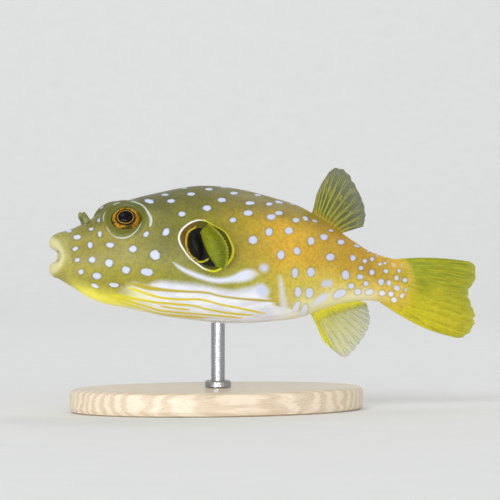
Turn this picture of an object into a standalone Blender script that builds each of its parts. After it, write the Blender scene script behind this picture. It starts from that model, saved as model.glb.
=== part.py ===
# A young white-spotted puffer, life size, held over a flat base by one rod.
# The head points to -X, the tail to +X, the left flank to -Y and the back to +Z.
# The origin is the middle of the base's underside, straight below the rod.
# Sizes are in millimetres here and become metres in the meshes.
# Run it with blender --background --python part.py, or from the text editor.

import math

import bmesh
import bpy
import numpy as np
from mathutils import Matrix, Vector

MM = 0.001
GAP = 0.3                # the room that touching pieces keep

# Where the fish hangs over the base
MOUTH_HEIGHT = 53.8      # the level of the mouth above the floor
SNOUT_X = -59.2          # the foremost point of the lips

# The body's outline: how far each station lies behind the snout, the back line and
# the belly line measured from the level of the mouth, and half the width there
BODY_STATIONS = {
    "behind the lips": (3.1, 7.9, -7.7, 6.1),
    "snout": (8.4, 9.5, -10.9, 8.0),
    "nostrils": (13.5, 12.1, -14.2, 10.0),
    "forehead": (18.6, 15.1, -16.2, 11.9),
    "eyes": (26.3, 18.7, -17.8, 14.3),
    "nape": (38.0, 21.9, -20.4, 17.4),
    "gill openings": (52.8, 24.4, -22.6, 19.6),
    "deepest part": (65.3, 23.5, -23.5, 19.7),
    "flank": (78.0, 20.6, -23.0, 17.4),
    "vent": (88.9, 17.2, -21.6, 13.9),
    "under the dorsal fin": (97.0, 12.6, -18.9, 10.7),
    "behind the fins": (107.3, 5.9, -16.4, 7.0),
    "tail stalk": (114.7, 1.5, -15.9, 4.5),
    "tail root": (121.5, -0.7, -17.1, 2.7),
    "end of the flesh": (126.5, -1.7, -17.8, 1.3),
}
WIDEST_AT = 0.47         # the widest level, as a share of the depth above the belly line
HEAD_BOXINESS = 2.75     # how square the upper half of a section is at the eyes
TRUNK_BOXINESS = 2.15    # and farther back
BELLY_BOXINESS = 2.1
RING_POINTS = 46
FLESH_BULGE = 3.5        # how far the flesh reaches onto the tail fin at mid height

# The lips and the mouth, from the back of the cavity to the outside:
# how far behind the lips' crest, half the width, half the height
MOUTH_RINGS = [
    (6.6, 1.0, 0.6),
    (6.0, 2.2, 1.5),
    (3.4, 2.6, 1.9),
    (1.6, 2.9, 2.2),
    (0.5, 3.5, 2.9),
    (0.0, 4.2, 4.1),
    (0.1, 4.8, 5.3),
    (0.8, 5.4, 6.5),
    (1.8, 5.8, 7.3),
]
LIP_RECESS = 3.5         # how far the corners of the mouth lie behind the lips' middle
LIP_RECESS_ENDS = 9.0    # this far behind the snout the recess has died out

# Eyes: places are back from the snout, out from the middle plane, up from the mouth's level
EYE_PLACE = (24.9, 8.2, 11.6)   # the eyeball's centre
EYE_RADIUS = 5.9
EYE_AXIS = Vector((-0.10, 0.875, 0.47)).normalized()   # the way that the right eye looks
CORNEA_RADIUS = 4.3
CORNEA_OUT = 2.1         # the cornea's centre, out from the eyeball's centre
ORBIT_PLACE = (24.5, 8.3, 12.4)     # the centre of the swelling of flesh round the eyeball
ORBIT_HALF = (8.2, 7.3, 3.9)    # its size along the fish, up and out
ORBIT_SUNK = 6.2         # how deep it reaches inwards
LID_RADIUS = 5.75        # the round fold of skin that rims the eye
LID_THICK = 0.85         # half its thickness
LID_OUT = 2.75           # its plane, out from the eyeball's centre

# Thin cuts between head, trunk and tail stalk, behind the snout
HEAD_ENDS = 42.0
TRUNK_ENDS = 107.5

# Gill openings, a slit in front of each pectoral fin
GILL_BACK = 46.9
GILL_UP = 3.4
GILL_HALF = (2.1, 1.9, 5.6)     # half the length, depth and height of the slit
GILL_TILT = math.radians(17)

# Nostril flaps: a tall pointed flap and a low one behind it, on one stem.
# The outlines run along the fish and upwards from the stem's foot.
NOSTRIL_BACK = 12.6
NOSTRIL_OUT = 3.1
NOSTRIL_THICK = 0.85
NOSTRIL_LEAN = math.radians(14)
FRONT_FLAP = [(-0.6, -1.5), (-1.0, 0.5), (-1.6, 1.8), (-1.8, 2.8), (-1.3, 3.7), (-0.5, 3.0), (0.3, 1.9),
              (0.9, 0.8), (1.0, -1.5)]
REAR_FLAP = [(0.5, -1.5), (1.3, 0.5), (2.2, 1.4), (3.5, 2.1), (3.9, 1.3), (3.3, 0.2), (2.6, -1.5)]

# The beak's two tooth plates
BEAK_BACK = 6.0          # the centre of the plates' arc behind the snout
BEAK_RADIUS = 2.5
BEAK_THICK = 0.9
BEAK_HALF_ANGLE = math.radians(66)
BITE_GAP = 0.7           # between the upper and the lower plate

# Fins
MEMBRANE = 0.5
RAY = 0.95
FIN_TIP = 0.4
# The fleshy roots: the most they add to the thickness, and where they end along the rays
DORSAL_FLESH = (4.8, 0.62)
ANAL_FLESH = (4.6, 0.6)
CAUDAL_FLESH = (2.2, 0.32)
PECTORAL_FLESH = (3.8, 0.5)

# Stand
BASE_LENGTH = 104.0
BASE_WIDTH = 62.0
BASE_HEIGHT = 8.0
ROD_RADIUS = 2.4
ROD_COLLAR_RADIUS = 4.6
ROD_COLLAR_HEIGHT = 2.2
ROD_SINK = 6.0

LEFT, RIGHT = -1, 1

# Each piece's finish: colour, roughness, metallic
FINISHES = {
    "head": ((0.40, 0.36, 0.10), 0.42, 0.0),
    "trunk": ((0.44, 0.36, 0.08), 0.42, 0.0),
    "tail_stalk": ((0.50, 0.32, 0.05), 0.42, 0.0),
    "eye": ((0.45, 0.24, 0.03), 0.08, 0.0),
    "nostril": ((0.26, 0.26, 0.07), 0.45, 0.0),
    "beak": ((0.85, 0.80, 0.68), 0.25, 0.0),
    "dorsal_fin": ((0.33, 0.36, 0.10), 0.4, 0.0),
    "anal_fin": ((0.60, 0.55, 0.08), 0.4, 0.0),
    "caudal_fin": ((0.52, 0.50, 0.05), 0.4, 0.0),
    "pectoral_fin": ((0.40, 0.42, 0.08), 0.4, 0.0),
    "stand_base": ((0.55, 0.4, 0.25), 0.4, 0.0),
    "stand_rod": ((0.60, 0.60, 0.60), 0.25, 1.0),
}


def clear_scene():
    for obj in list(bpy.data.objects):
        bpy.data.objects.remove(obj)


def collection(name, hidden=False):
    made = bpy.data.collections.new(name)
    bpy.context.scene.collection.children.link(made)
    made.hide_render = hidden
    return made


def finish(name):
    """A material for one piece, from the finish of its kind."""
    kind = next(key for key in FINISHES if name.startswith(key))
    colour, roughness, metallic = FINISHES[kind]
    made = bpy.data.materials.new(name)
    made.use_nodes = True
    shader = made.node_tree.nodes["Principled BSDF"]
    shader.inputs["Base Color"].default_value = (*colour, 1.0)
    shader.inputs["Roughness"].default_value = roughness
    shader.inputs["Metallic"].default_value = metallic
    return made


def link(mesh, name, where, coloured=False):
    obj = bpy.data.objects.new(name, mesh)
    where.objects.link(obj)
    if coloured:
        mesh.materials.append(finish(name))
    mesh.shade_smooth()
    mesh.set_sharp_from_angle(angle=math.radians(40))
    return obj


def as_cutter(obj):
    obj.hide_render = True
    obj.display_type = "WIRE"
    return obj


def boolean(obj, other, operation):
    modifier = obj.modifiers.new(operation.title(), "BOOLEAN")
    modifier.operation = operation
    modifier.solver = "EXACT"
    modifier.object = other
    return modifier


def evaluated_mesh(obj):
    graph = bpy.context.evaluated_depsgraph_get()
    graph.update()
    return bpy.data.meshes.new_from_object(obj.evaluated_get(graph))


def keep_largest_surface(obj):
    """Applies the modifiers and keeps the largest closed surface of what they leave."""
    mesh = evaluated_mesh(obj)
    obj.modifiers.clear()
    obj.data = mesh
    bm = bmesh.new()
    bm.from_mesh(mesh)
    left = set(bm.verts)
    groups = []
    while left:
        seed = left.pop()
        group, edge = {seed}, [seed]
        while edge:
            near = {e.other_vert(v) for v in edge for e in v.link_edges} - group
            group |= near
            edge = list(near)
        left -= group
        groups.append(group)
    keep = max(groups, key=len)
    bmesh.ops.delete(bm, geom=[v for v in bm.verts if v not in keep], context="VERTS")
    bm.to_mesh(mesh)
    bm.free()


def smooth_step(low, high, value):
    share = np.clip((value - low) / (high - low), 0.0, 1.0)
    return share * share * (3 - 2 * share)


def along_body(column, back):
    """One measure of the body at a distance behind the snout: a smooth curve through the stations."""
    at = np.array([row[0] for row in BODY_STATIONS.values()])
    values = np.array([row[column] for row in BODY_STATIONS.values()])
    slopes = np.gradient(values, at)
    k = int(np.clip(np.searchsorted(at, back) - 1, 0, len(at) - 2))
    length = at[k + 1] - at[k]
    t = (back - at[k]) / length
    return float(
        (2 * t**3 - 3 * t**2 + 1) * values[k] + (t**3 - 2 * t**2 + t) * length * slopes[k]
        + (3 * t**2 - 2 * t**3) * values[k + 1] + (t**3 - t**2) * length * slopes[k + 1]
    )


def power_circle(angle, boxiness):
    """A circle's cosine and sine, squared off."""
    c, s = math.cos(angle), math.sin(angle)
    share = 2.0 / boxiness
    return math.copysign(abs(c) ** share, c), math.copysign(abs(s) ** share, s)


def body_section(back):
    """One closed ring of the body, from the left flank over the back to the right flank and the belly."""
    top, bottom, half = (along_body(column, back) for column in (1, 2, 3))
    middle = bottom + WIDEST_AT * (top - bottom)
    head = 1 - float(smooth_step(30.0, 60.0, back))
    rounding = float(smooth_step(4.0, 20.0, back))
    upper = TRUNK_BOXINESS + (HEAD_BOXINESS - TRUNK_BOXINESS) * head * rounding
    bulge = FLESH_BULGE * float(smooth_step(116.0, 126.5, back))
    ring = []
    for k in range(RING_POINTS):
        angle = 2 * math.pi * k / RING_POINTS
        rising = math.sin(angle) >= 0
        c, s = power_circle(angle, upper if rising else BELLY_BOXINESS)
        recess = LIP_RECESS * math.cos(angle) ** 2 * (1 - float(smooth_step(1.5, LIP_RECESS_ENDS, back)))
        x = back + recess + bulge * (1 - s * s)
        ring.append((x, -half * c, middle + s * (top - middle if rising else middle - bottom)))
    return ring


def mouth_ring(behind, half_width, half_height):
    ring = []
    for k in range(RING_POINTS):
        angle = 2 * math.pi * k / RING_POINTS
        recess = LIP_RECESS * math.cos(angle) ** 2
        ring.append((behind + recess, -half_width * math.cos(angle), half_height * math.sin(angle)))
    return ring


def ring_places():
    """Where the body's rings stand: close together at the lips and eyes, wider apart on the trunk."""
    back, places = BODY_STATIONS["behind the lips"][0], []
    end = BODY_STATIONS["end of the flesh"][0]
    while back < end - 1.0:
        places.append(back)
        back += 1.4 + 0.8 * float(smooth_step(33, 38, back)) + 1.4 * float(smooth_step(44, 56, back))
    return [*places, end]


def to_world(points):
    """Millimetres behind the snout and above the mouth's level to metres in the object's frame."""
    return (np.asarray(points, float) + (SNOUT_X, 0.0, MOUTH_HEIGHT)) * MM


def body_mesh(name):
    """The whole body as one loft, from the back of the mouth over the lips to the end of the flesh."""
    rings = [mouth_ring(*row) for row in MOUTH_RINGS]
    rings += [body_section(back) for back in ring_places()]
    points = np.array(rings).reshape(-1, 3)
    bm = bmesh.new()
    verts = [bm.verts.new(p) for p in to_world(points)]
    loops = [verts[k:k + RING_POINTS] for k in range(0, len(verts), RING_POINTS)]
    for first, second in zip(loops, loops[1:]):
        for k in range(RING_POINTS):
            after = (k + 1) % RING_POINTS
            bm.faces.new((first[k], first[after], second[after], second[k]))
    for loop in (loops[0], loops[-1]):
        middle = bm.verts.new(sum((v.co for v in loop), Vector()) / RING_POINTS)
        for k in range(RING_POINTS):
            bm.faces.new((middle, loop[k], loop[(k + 1) % RING_POINTS]))
    bmesh.ops.recalc_face_normals(bm, faces=bm.faces)
    mesh = bpy.data.meshes.new(name)
    bm.to_mesh(mesh)
    bm.free()
    return mesh


def grown(mesh, by):
    """A copy of a mesh with each point moved outwards."""
    copy = mesh.copy()
    normals = [v.normal.copy() for v in copy.vertices]
    for vertex, normal in zip(copy.vertices, normals):
        vertex.co += normal * by * MM
    return copy


def block(name, start, end, where):
    """A box that holds the body between two stations."""
    size = 200.0
    bpy.ops.mesh.primitive_cube_add(size=1)
    obj = bpy.context.object
    obj.name = name
    middle = SNOUT_X + (start + end) / 2
    obj.data.transform(Matrix.Translation((middle * MM, 0, MOUTH_HEIGHT * MM))
                       @ Matrix.Diagonal(((end - start) * MM, size * MM, size * MM, 1)))
    move_to(obj, where)
    return as_cutter(obj)


def move_to(obj, where):
    for old in obj.users_collection:
        old.objects.unlink(obj)
    where.objects.link(obj)


def ball(name, centre, half_sizes, turn, where, segments=24, rings=14):
    """An ellipsoid about a point of the fish, turned by a matrix."""
    mesh = bpy.data.meshes.new(name)
    bm = bmesh.new()
    bmesh.ops.create_uvsphere(bm, u_segments=segments, v_segments=rings, radius=MM)
    place = Matrix.Translation(Vector(to_world(centre)))
    bm.transform(place @ turn.to_4x4() @ Matrix.Diagonal((*half_sizes, 1.0)))
    bm.to_mesh(mesh)
    bm.free()
    return link(mesh, name, where)


def side_word(side):
    return "left" if side == LEFT else "right"


def on_side(place, side):
    """A place given for the right side, on the side asked for."""
    back, out, up = place
    return (back, side * out, up)


def eye_turn(side):
    """Turns +Z to the way that this eye looks."""
    axis = Vector((EYE_AXIS.x, side * EYE_AXIS.y, EYE_AXIS.z))
    return axis.to_track_quat("Z", "X").to_matrix()


def build_head(body, parts, cutters):
    head = link(body.copy(), "head", parts, True)
    boolean(head, block("head_block", -20, HEAD_ENDS, cutters), "INTERSECT")
    identity = Matrix.Identity(3)
    for side in (LEFT, RIGHT):
        boolean(head, eye_swelling(side, cutters), "UNION")
        boolean(head, eye_lid(side, cutters), "UNION")
        socket_size = [EYE_RADIUS + GAP] * 3
        socket = ball(f"socket_{side_word(side)}", on_side(EYE_PLACE, side), socket_size, identity, cutters)
        boolean(head, as_cutter(socket), "DIFFERENCE")
    keep_largest_surface(head)
    return head


def eye_swelling(side, cutters):
    """A mound of flesh round the eyeball, longest along the fish and lower outside than inside."""
    turn = eye_turn(side)
    along = Vector((1, 0, 0))
    out = turn @ Vector((0, 0, 1))
    up = out.cross(along).normalized()
    frame = Matrix((up.cross(out), up, out)).transposed()
    centre = Vector(to_world(on_side(ORBIT_PLACE, side)))
    bm = bmesh.new()
    bmesh.ops.create_uvsphere(bm, u_segments=32, v_segments=16, radius=MM)
    for vertex in bm.verts:
        depth = ORBIT_HALF[2] if vertex.co.z > 0 else ORBIT_SUNK
        vertex.co = centre + frame @ (vertex.co * Vector((*ORBIT_HALF[:2], depth)))
    mesh = bpy.data.meshes.new(f"orbit_{side_word(side)}")
    bm.to_mesh(mesh)
    bm.free()
    return as_cutter(link(mesh, mesh.name, cutters))


def eye_lid(side, cutters):
    """The round fold of skin, a torus about the way that the eye looks."""
    bpy.ops.mesh.primitive_torus_add(major_segments=28, minor_segments=8,
                                     major_radius=LID_RADIUS * MM, minor_radius=LID_THICK * MM)
    lid = bpy.context.object
    lid.name = f"lid_{side_word(side)}"
    turn = eye_turn(side)
    centre = Vector(to_world(Vector(on_side(EYE_PLACE, side)) + turn @ Vector((0, 0, LID_OUT))))
    lid.data.transform(Matrix.Translation(centre) @ turn.to_4x4())
    move_to(lid, cutters)
    return as_cutter(lid)


def build_trunk(body, parts, cutters):
    trunk = link(body.copy(), "trunk", parts, True)
    boolean(trunk, block("trunk_block", HEAD_ENDS + GAP, TRUNK_ENDS, cutters), "INTERSECT")
    out = along_body(3, GILL_BACK)
    for side in (LEFT, RIGHT):
        lean = Matrix.Rotation(-GILL_TILT, 3, "Y")
        centre = (GILL_BACK, side * out, GILL_UP)
        slit = ball(f"gill_slit_{side_word(side)}", centre, GILL_HALF, lean, cutters, 16, 10)
        boolean(trunk, as_cutter(slit), "DIFFERENCE")
    return trunk


def build_tail_stalk(body, parts, cutters):
    stalk = link(body.copy(), "tail_stalk", parts, True)
    boolean(stalk, block("tail_block", TRUNK_ENDS + GAP, 160, cutters), "INTERSECT")
    return stalk


def build_eye(side, parts):
    """An eyeball with the cornea's low dome in front."""
    turn = eye_turn(side)
    name = f"eye_{side_word(side)}"
    eye = ball(name, on_side(EYE_PLACE, side), [EYE_RADIUS] * 3, turn, parts, 24, 14)
    eye.data.materials.append(finish(name))
    dome_centre = Vector(on_side(EYE_PLACE, side)) + turn @ Vector((0, 0, CORNEA_OUT))
    cornea = ball(f"cornea_{side_word(side)}", dome_centre, [CORNEA_RADIUS] * 3, turn, parts, 18, 10)
    join_by_union(eye, [cornea])
    return eye


def join_by_union(obj, others):
    """Fuses the others into obj and removes them."""
    group = bpy.data.collections.new(f"{obj.name}_pieces")
    bpy.context.scene.collection.children.link(group)
    for other in others:
        move_to(other, group)
    union = obj.modifiers.new("Join", "BOOLEAN")
    union.operation = "UNION"
    union.operand_type = "COLLECTION"
    union.collection = group
    union.solver = "EXACT"
    keep_largest_surface(obj)
    for other in others:
        bpy.data.objects.remove(other)
    bpy.data.collections.remove(group)


def flat_flap(name, outline, root, side, parts):
    """A thin flap with a smooth outline that stands on the snout and leans outwards."""
    curve = bpy.data.curves.new(name, "CURVE")
    curve.dimensions = "2D"
    curve.fill_mode = "BOTH"
    curve.bevel_depth = 0.2 * MM
    curve.bevel_resolution = 0
    curve.extrude = (NOSTRIL_THICK / 2 - 0.2) * MM
    curve.resolution_u = 3
    spline = curve.splines.new("BEZIER")
    spline.bezier_points.add(len(outline) - 1)
    spline.use_cyclic_u = True
    for knot, (x, z) in zip(spline.bezier_points, outline):
        knot.co = (x * MM, z * MM, 0)
        knot.handle_left_type = knot.handle_right_type = "AUTO"
    drawn = bpy.data.objects.new(name, curve)
    parts.objects.link(drawn)
    mesh = evaluated_mesh(drawn)
    bpy.data.objects.remove(drawn)
    upright = Matrix.Rotation(math.radians(90), 4, "X")
    lean = Matrix.Rotation(-side * NOSTRIL_LEAN, 4, "X")
    mesh.transform(Matrix.Translation(Vector(to_world(root))) @ lean @ upright)
    bm = bmesh.new()
    bm.from_mesh(mesh)
    bmesh.ops.remove_doubles(bm, verts=bm.verts, dist=0.00001)
    bmesh.ops.recalc_face_normals(bm, faces=bm.faces)
    bm.to_mesh(mesh)
    bm.free()
    return link(mesh, name, parts)


def nostril_root(side):
    """A point of the snout's skin at the nostril."""
    ring = np.array(body_section(NOSTRIL_BACK))
    upper = ring[(ring[:, 2] > 2) & (ring[:, 1] * side > 0)]
    upper = upper[np.argsort(np.abs(upper[:, 1]))]
    height = np.interp(NOSTRIL_OUT, np.abs(upper[:, 1]), upper[:, 2])
    return (NOSTRIL_BACK, side * NOSTRIL_OUT, float(height))


def build_nostril(side, parts, skin_room):
    root = nostril_root(side)
    name = f"nostril_{side_word(side)}"
    front = flat_flap(name, FRONT_FLAP, root, side, parts)
    rear = flat_flap(f"{name}_rear", REAR_FLAP, root, side, parts)
    stem_centre = (root[0] + 0.8, root[1], root[2])
    stem = ball(f"{name}_stem", stem_centre, (1.9, 0.9, 1.0), Matrix.Identity(3), parts, 12, 8)
    join_by_union(front, [rear, stem])
    front.data.materials.append(finish(name))
    boolean(front, skin_room, "DIFFERENCE")
    keep_largest_surface(front)
    return front


def build_beak(up, parts, skin_room):
    """A curved tooth plate: an upright strip turned part of the way round."""
    name = "beak_upper" if up > 0 else "beak_lower"
    near, far = BITE_GAP / 2, 4.2
    profile = [(BEAK_RADIUS, near), (BEAK_RADIUS, far), (BEAK_RADIUS - BEAK_THICK, far),
               (BEAK_RADIUS - BEAK_THICK, near + 0.15)]
    bm = bmesh.new()
    verts = [bm.verts.new((-r, 0, up * z)) for r, z in profile]
    face = bm.faces.new(verts)
    bmesh.ops.rotate(bm, verts=bm.verts, matrix=Matrix.Rotation(-BEAK_HALF_ANGLE, 3, "Z"))
    bmesh.ops.spin(bm, geom=[face, *face.edges, *face.verts], axis=(0, 0, 1), cent=(0, 0, 0),
                   angle=2 * BEAK_HALF_ANGLE, steps=12, use_duplicate=False)
    bmesh.ops.recalc_face_normals(bm, faces=bm.faces)
    bm.transform(Matrix.Translation(Vector(to_world((BEAK_BACK, 0, 0)))) @ Matrix.Scale(MM, 4))
    mesh = bpy.data.meshes.new(name)
    bm.to_mesh(mesh)
    bm.free()
    plate = link(mesh, name, parts, True)
    boolean(plate, skin_room, "DIFFERENCE")
    keep_largest_surface(plate)
    return plate


def fin_columns(rays):
    """Shares across a fin, with three columns for each ray, and how high the ray stands there."""
    columns = [(0.0, 0.55)]
    for ray in range(rays):
        middle, foot = (ray + 0.5) / rays, 0.24 / rays
        columns += [(middle - foot, 0.0), (middle, 1.0), (middle + foot, 0.0)]
    return [*columns, (1.0, 0.0)]


def build_fin(name, shape, rays, rows, parts, skin_room):
    """A fan of rays in a membrane.

    shape(along, across) gives a point in millimetres and how much the fleshy root adds there.
    """
    columns = fin_columns(rays)
    bm = bmesh.new()
    bmesh.ops.create_grid(bm, x_segments=len(columns) - 1, y_segments=rows, size=0.5)
    mesh = bpy.data.meshes.new(name)
    bmesh.ops.triangulate(bm, faces=bm.faces)
    bm.to_mesh(mesh)
    bm.free()
    thickness = []
    for vertex in mesh.vertices:
        across, ridge = columns[round((vertex.co.x + 0.5) * (len(columns) - 1))]
        along = vertex.co.y + 0.5
        point, flesh = shape(along, across)
        vertex.co = to_world(point)
        web = MEMBRANE + (FIN_TIP - MEMBRANE) * along
        thickness.append(web + max(flesh, ridge * (RAY - MEMBRANE) * (1 - 0.75 * along)))
    fin = link(mesh, name, parts, True)
    thickest = max(thickness)
    group = fin.vertex_groups.new(name="thickness")
    for index, value in enumerate(thickness):
        group.add([index], value / thickest, "REPLACE")
    shell = fin.modifiers.new("Thickness", "SOLIDIFY")
    shell.thickness = thickest * MM
    shell.offset = 0.0
    shell.vertex_group = group.name
    boolean(fin, skin_room, "DIFFERENCE")
    keep_largest_surface(fin)
    return fin


def curve_through(points, share):
    """A point on a smooth curve through a few points, at a share of the way by number."""
    points = np.array(points, float)
    at = share * (len(points) - 1)
    k = int(min(max(math.floor(at), 0), len(points) - 2))
    t = at - k
    before = points[k - 1] if k else 2 * points[0] - points[1]
    after = points[k + 2] if k + 2 < len(points) else 2 * points[-1] - points[-2]
    a, b = points[k], points[k + 1]
    return 0.5 * (2 * a + (b - before) * t + (2 * before - 5 * a + 4 * b - after) * t**2
                  + (3 * a - before - 3 * b + after) * t**3)


def root_flesh(measure, along, across):
    """The fleshy root of a fin: thickest in the middle, gone at a share of the rays' length."""
    thickness, reach = measure
    fading = max(0.0, 1 - (along / reach) ** 2)
    return thickness * fading * math.sin(math.pi * min(max(across, 0.07), 0.93)) ** 0.5


def upright_fin(root, margin, flesh, sway):
    """A fin in the middle plane: rays run from the root line to the margin and sway to one side."""
    def shape(along, across):
        foot, tip = curve_through(root, across), curve_through(margin, across)
        x, z = foot + (tip - foot) * along
        y = sway * math.sin(1.3 * math.pi * across + 0.4) * along**2
        return (x, y, z), root_flesh(flesh, along, across)
    return shape


# Root lines start inside the flesh. Margins run from the fin's front ray to its last ray.
DORSAL_ROOT = [(92.5, 11.0), (94.3, 9.4), (96.3, 7.9), (98.4, 6.3)]
DORSAL_MARGIN = [(95.0, 21.6), (97.6, 26.6), (101.4, 31.1), (105.6, 30.6), (109.0, 26.0),
                 (111.6, 20.6), (112.9, 15.0), (112.0, 10.4)]
ANAL_ROOT = [(91.2, -16.4), (94.4, -15.4), (97.6, -14.3), (101.0, -13.2)]
ANAL_MARGIN = [(97.4, -30.4), (104.7, -36.1), (109.2, -32.8), (112.6, -28.6), (114.6, -24.4),
               (114.8, -20.4), (113.6, -16.9)]
CAUDAL_ROOT = [(119.5, -1.6), (122.3, -5.8), (122.9, -9.8), (122.1, -13.6), (118.7, -16.8)]
CAUDAL_MARGIN = [(140.0, -0.6), (154.0, -2.2), (155.8, -8.6), (153.3, -13.0), (154.0, -18.2),
                 (155.2, -21.8), (153.6, -27.3), (149.0, -29.8), (139.5, -27.8)]


def caudal_shape(along, across):
    """The tail fin opens like a fan, and its upper and lower edges bow outwards."""
    foot = curve_through(CAUDAL_ROOT, across)
    inner = 1.0 / (len(CAUDAL_MARGIN) - 1)
    tip = curve_through(CAUDAL_MARGIN, inner + across * (1 - 2 * inner))
    x, z = foot + (tip - foot) * along
    z += (0.5 - across) * (2.4 + 1.6 * across) * math.sin(math.pi * along)
    y = 0.9 * math.sin(2.2 * math.pi * across) * along**2 + 2.2 * along**2
    return (x, y, z), root_flesh(CAUDAL_FLESH, along, across)


# Pectoral fins: the root line on the flank, from its upper to its lower end
PECTORAL_ROOT_BACK = (49.6, 54.8)
PECTORAL_ROOT_UP = (7.6, -2.8)
PECTORAL_LENGTH = 11.9
PECTORAL_SPREAD = (math.radians(17), math.radians(-8))
PECTORAL_OUT = (math.radians(99), math.radians(88))     # the outermost rays, the middle rays
PECTORAL_CURL = math.radians(10)


def flank_out(back, up):
    """Half the body's width at a level of the flank."""
    ring = np.array(body_section(back))
    flank = ring[ring[:, 1] > 0]
    flank = flank[np.argsort(flank[:, 2])]
    return float(np.interp(up, flank[:, 2], flank[:, 1]))


def pectoral_shape(side):
    def shape(along, across):
        back = PECTORAL_ROOT_BACK[0] + (PECTORAL_ROOT_BACK[1] - PECTORAL_ROOT_BACK[0]) * across
        up = PECTORAL_ROOT_UP[0] + (PECTORAL_ROOT_UP[1] - PECTORAL_ROOT_UP[0]) * across
        root = Vector((back, flank_out(back, up) - 2.6, up))
        rise = PECTORAL_SPREAD[0] + (PECTORAL_SPREAD[1] - PECTORAL_SPREAD[0]) * across
        bulge = math.sin(math.pi * across)
        bend = PECTORAL_OUT[0] + (PECTORAL_OUT[1] - PECTORAL_OUT[0]) * bulge - PECTORAL_CURL * along
        way = Vector((math.cos(bend) * math.cos(rise), math.sin(bend) * math.cos(rise), math.sin(rise)))
        length = (PECTORAL_LENGTH + 2.8) * (0.66 + 0.34 * math.sin(math.pi * (0.08 + 0.84 * across)) ** 0.7)
        point = root + way * length * along
        flesh = root_flesh(PECTORAL_FLESH, along, across)
        return (point.x, side * point.y, point.z), flesh
    return shape


def build_stand(parts, skin_room):
    bpy.ops.mesh.primitive_cylinder_add(vertices=64, radius=1, depth=1)
    base = bpy.context.object
    base.name = "stand_base"
    base.data.transform(Matrix.Diagonal((BASE_LENGTH / 2 * MM, BASE_WIDTH / 2 * MM, BASE_HEIGHT * MM, 1)))
    base.data.transform(Matrix.Translation((0, 0, BASE_HEIGHT / 2 * MM)))
    base.data.materials.append(finish("stand_base"))
    move_to(base, parts)
    top_edge = base.modifiers.new("Rounded edge", "BEVEL")
    top_edge.width = 1.8 * MM
    top_edge.segments = 2
    top_edge.limit_method = "ANGLE"
    top_edge.angle_limit = math.radians(60)

    top = MOUTH_HEIGHT + along_body(2, -SNOUT_X) + ROD_SINK
    foot = BASE_HEIGHT + GAP
    collar = foot + ROD_COLLAR_HEIGHT
    turned = [(0, top), (ROD_RADIUS, top), (ROD_RADIUS, collar), (ROD_COLLAR_RADIUS - 0.6, collar),
              (ROD_COLLAR_RADIUS, collar - 0.6), (ROD_COLLAR_RADIUS, foot), (0, foot)]
    mesh = bpy.data.meshes.new("stand_rod")
    edges = [(k, k + 1) for k in range(len(turned) - 1)]
    mesh.from_pydata([(r * MM, 0, z * MM) for r, z in turned], edges, [])
    rod = link(mesh, "stand_rod", parts, True)
    screw = rod.modifiers.new("Turned", "SCREW")
    screw.axis = "Z"
    screw.steps = screw.render_steps = 24
    screw.use_merge_vertices = True
    screw.merge_threshold = 0.00001
    boolean(rod, skin_room, "DIFFERENCE")
    keep_largest_surface(rod)


def build():
    clear_scene()
    parts = collection("white_spotted_puffer")
    cutters = collection("cutters", hidden=True)

    body = body_mesh("body")
    skin_room = as_cutter(link(grown(body, GAP), "skin_room", cutters))

    build_head(body, parts, cutters)
    build_trunk(body, parts, cutters)
    build_tail_stalk(body, parts, cutters)
    for side in (LEFT, RIGHT):
        build_eye(side, parts)
        build_nostril(side, parts, skin_room)
        build_fin(f"pectoral_fin_{side_word(side)}", pectoral_shape(side), 15, 5, parts, skin_room)
    for up in (1, -1):
        build_beak(up, parts, skin_room)
    dorsal = upright_fin(DORSAL_ROOT, DORSAL_MARGIN, DORSAL_FLESH, 1.1)
    build_fin("dorsal_fin", dorsal, 10, 7, parts, skin_room)
    anal = upright_fin(ANAL_ROOT, ANAL_MARGIN, ANAL_FLESH, -1.0)
    build_fin("anal_fin", anal, 10, 7, parts, skin_room)
    build_fin("caudal_fin", caudal_shape, 10, 9, parts, skin_room)
    build_stand(parts, skin_room)


build()
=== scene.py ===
# Looks for the white-spotted puffer: skin, eyes, fins, stand, floor, lights and camera.
# The body is worked out in millimetres: back is the distance behind the snout, up the height
# above the mouth. The left flank, which faces the camera, is at -Y.
import math

import bmesh
import bpy
import numpy as np
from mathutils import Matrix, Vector
from mathutils.bvhtree import BVHTree


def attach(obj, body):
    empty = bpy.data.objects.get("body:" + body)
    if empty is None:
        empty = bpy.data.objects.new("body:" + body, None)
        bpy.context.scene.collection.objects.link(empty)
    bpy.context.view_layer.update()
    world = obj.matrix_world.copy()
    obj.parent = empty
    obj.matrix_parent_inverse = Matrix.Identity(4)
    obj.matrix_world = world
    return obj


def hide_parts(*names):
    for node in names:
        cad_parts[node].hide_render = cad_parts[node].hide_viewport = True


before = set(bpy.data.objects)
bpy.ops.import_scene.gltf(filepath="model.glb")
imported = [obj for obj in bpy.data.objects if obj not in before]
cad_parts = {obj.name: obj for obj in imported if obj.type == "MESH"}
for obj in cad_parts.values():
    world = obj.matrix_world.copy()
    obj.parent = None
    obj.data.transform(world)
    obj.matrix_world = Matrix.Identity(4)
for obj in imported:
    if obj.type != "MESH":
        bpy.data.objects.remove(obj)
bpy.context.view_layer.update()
scene = bpy.context.scene

placing = {
    "snoutX": -59.2,
    "mouthHeight": 53.8,
    "millimetre": 0.001,
}
tiny = 1e-9                  # keeps divisions away from nought

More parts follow.
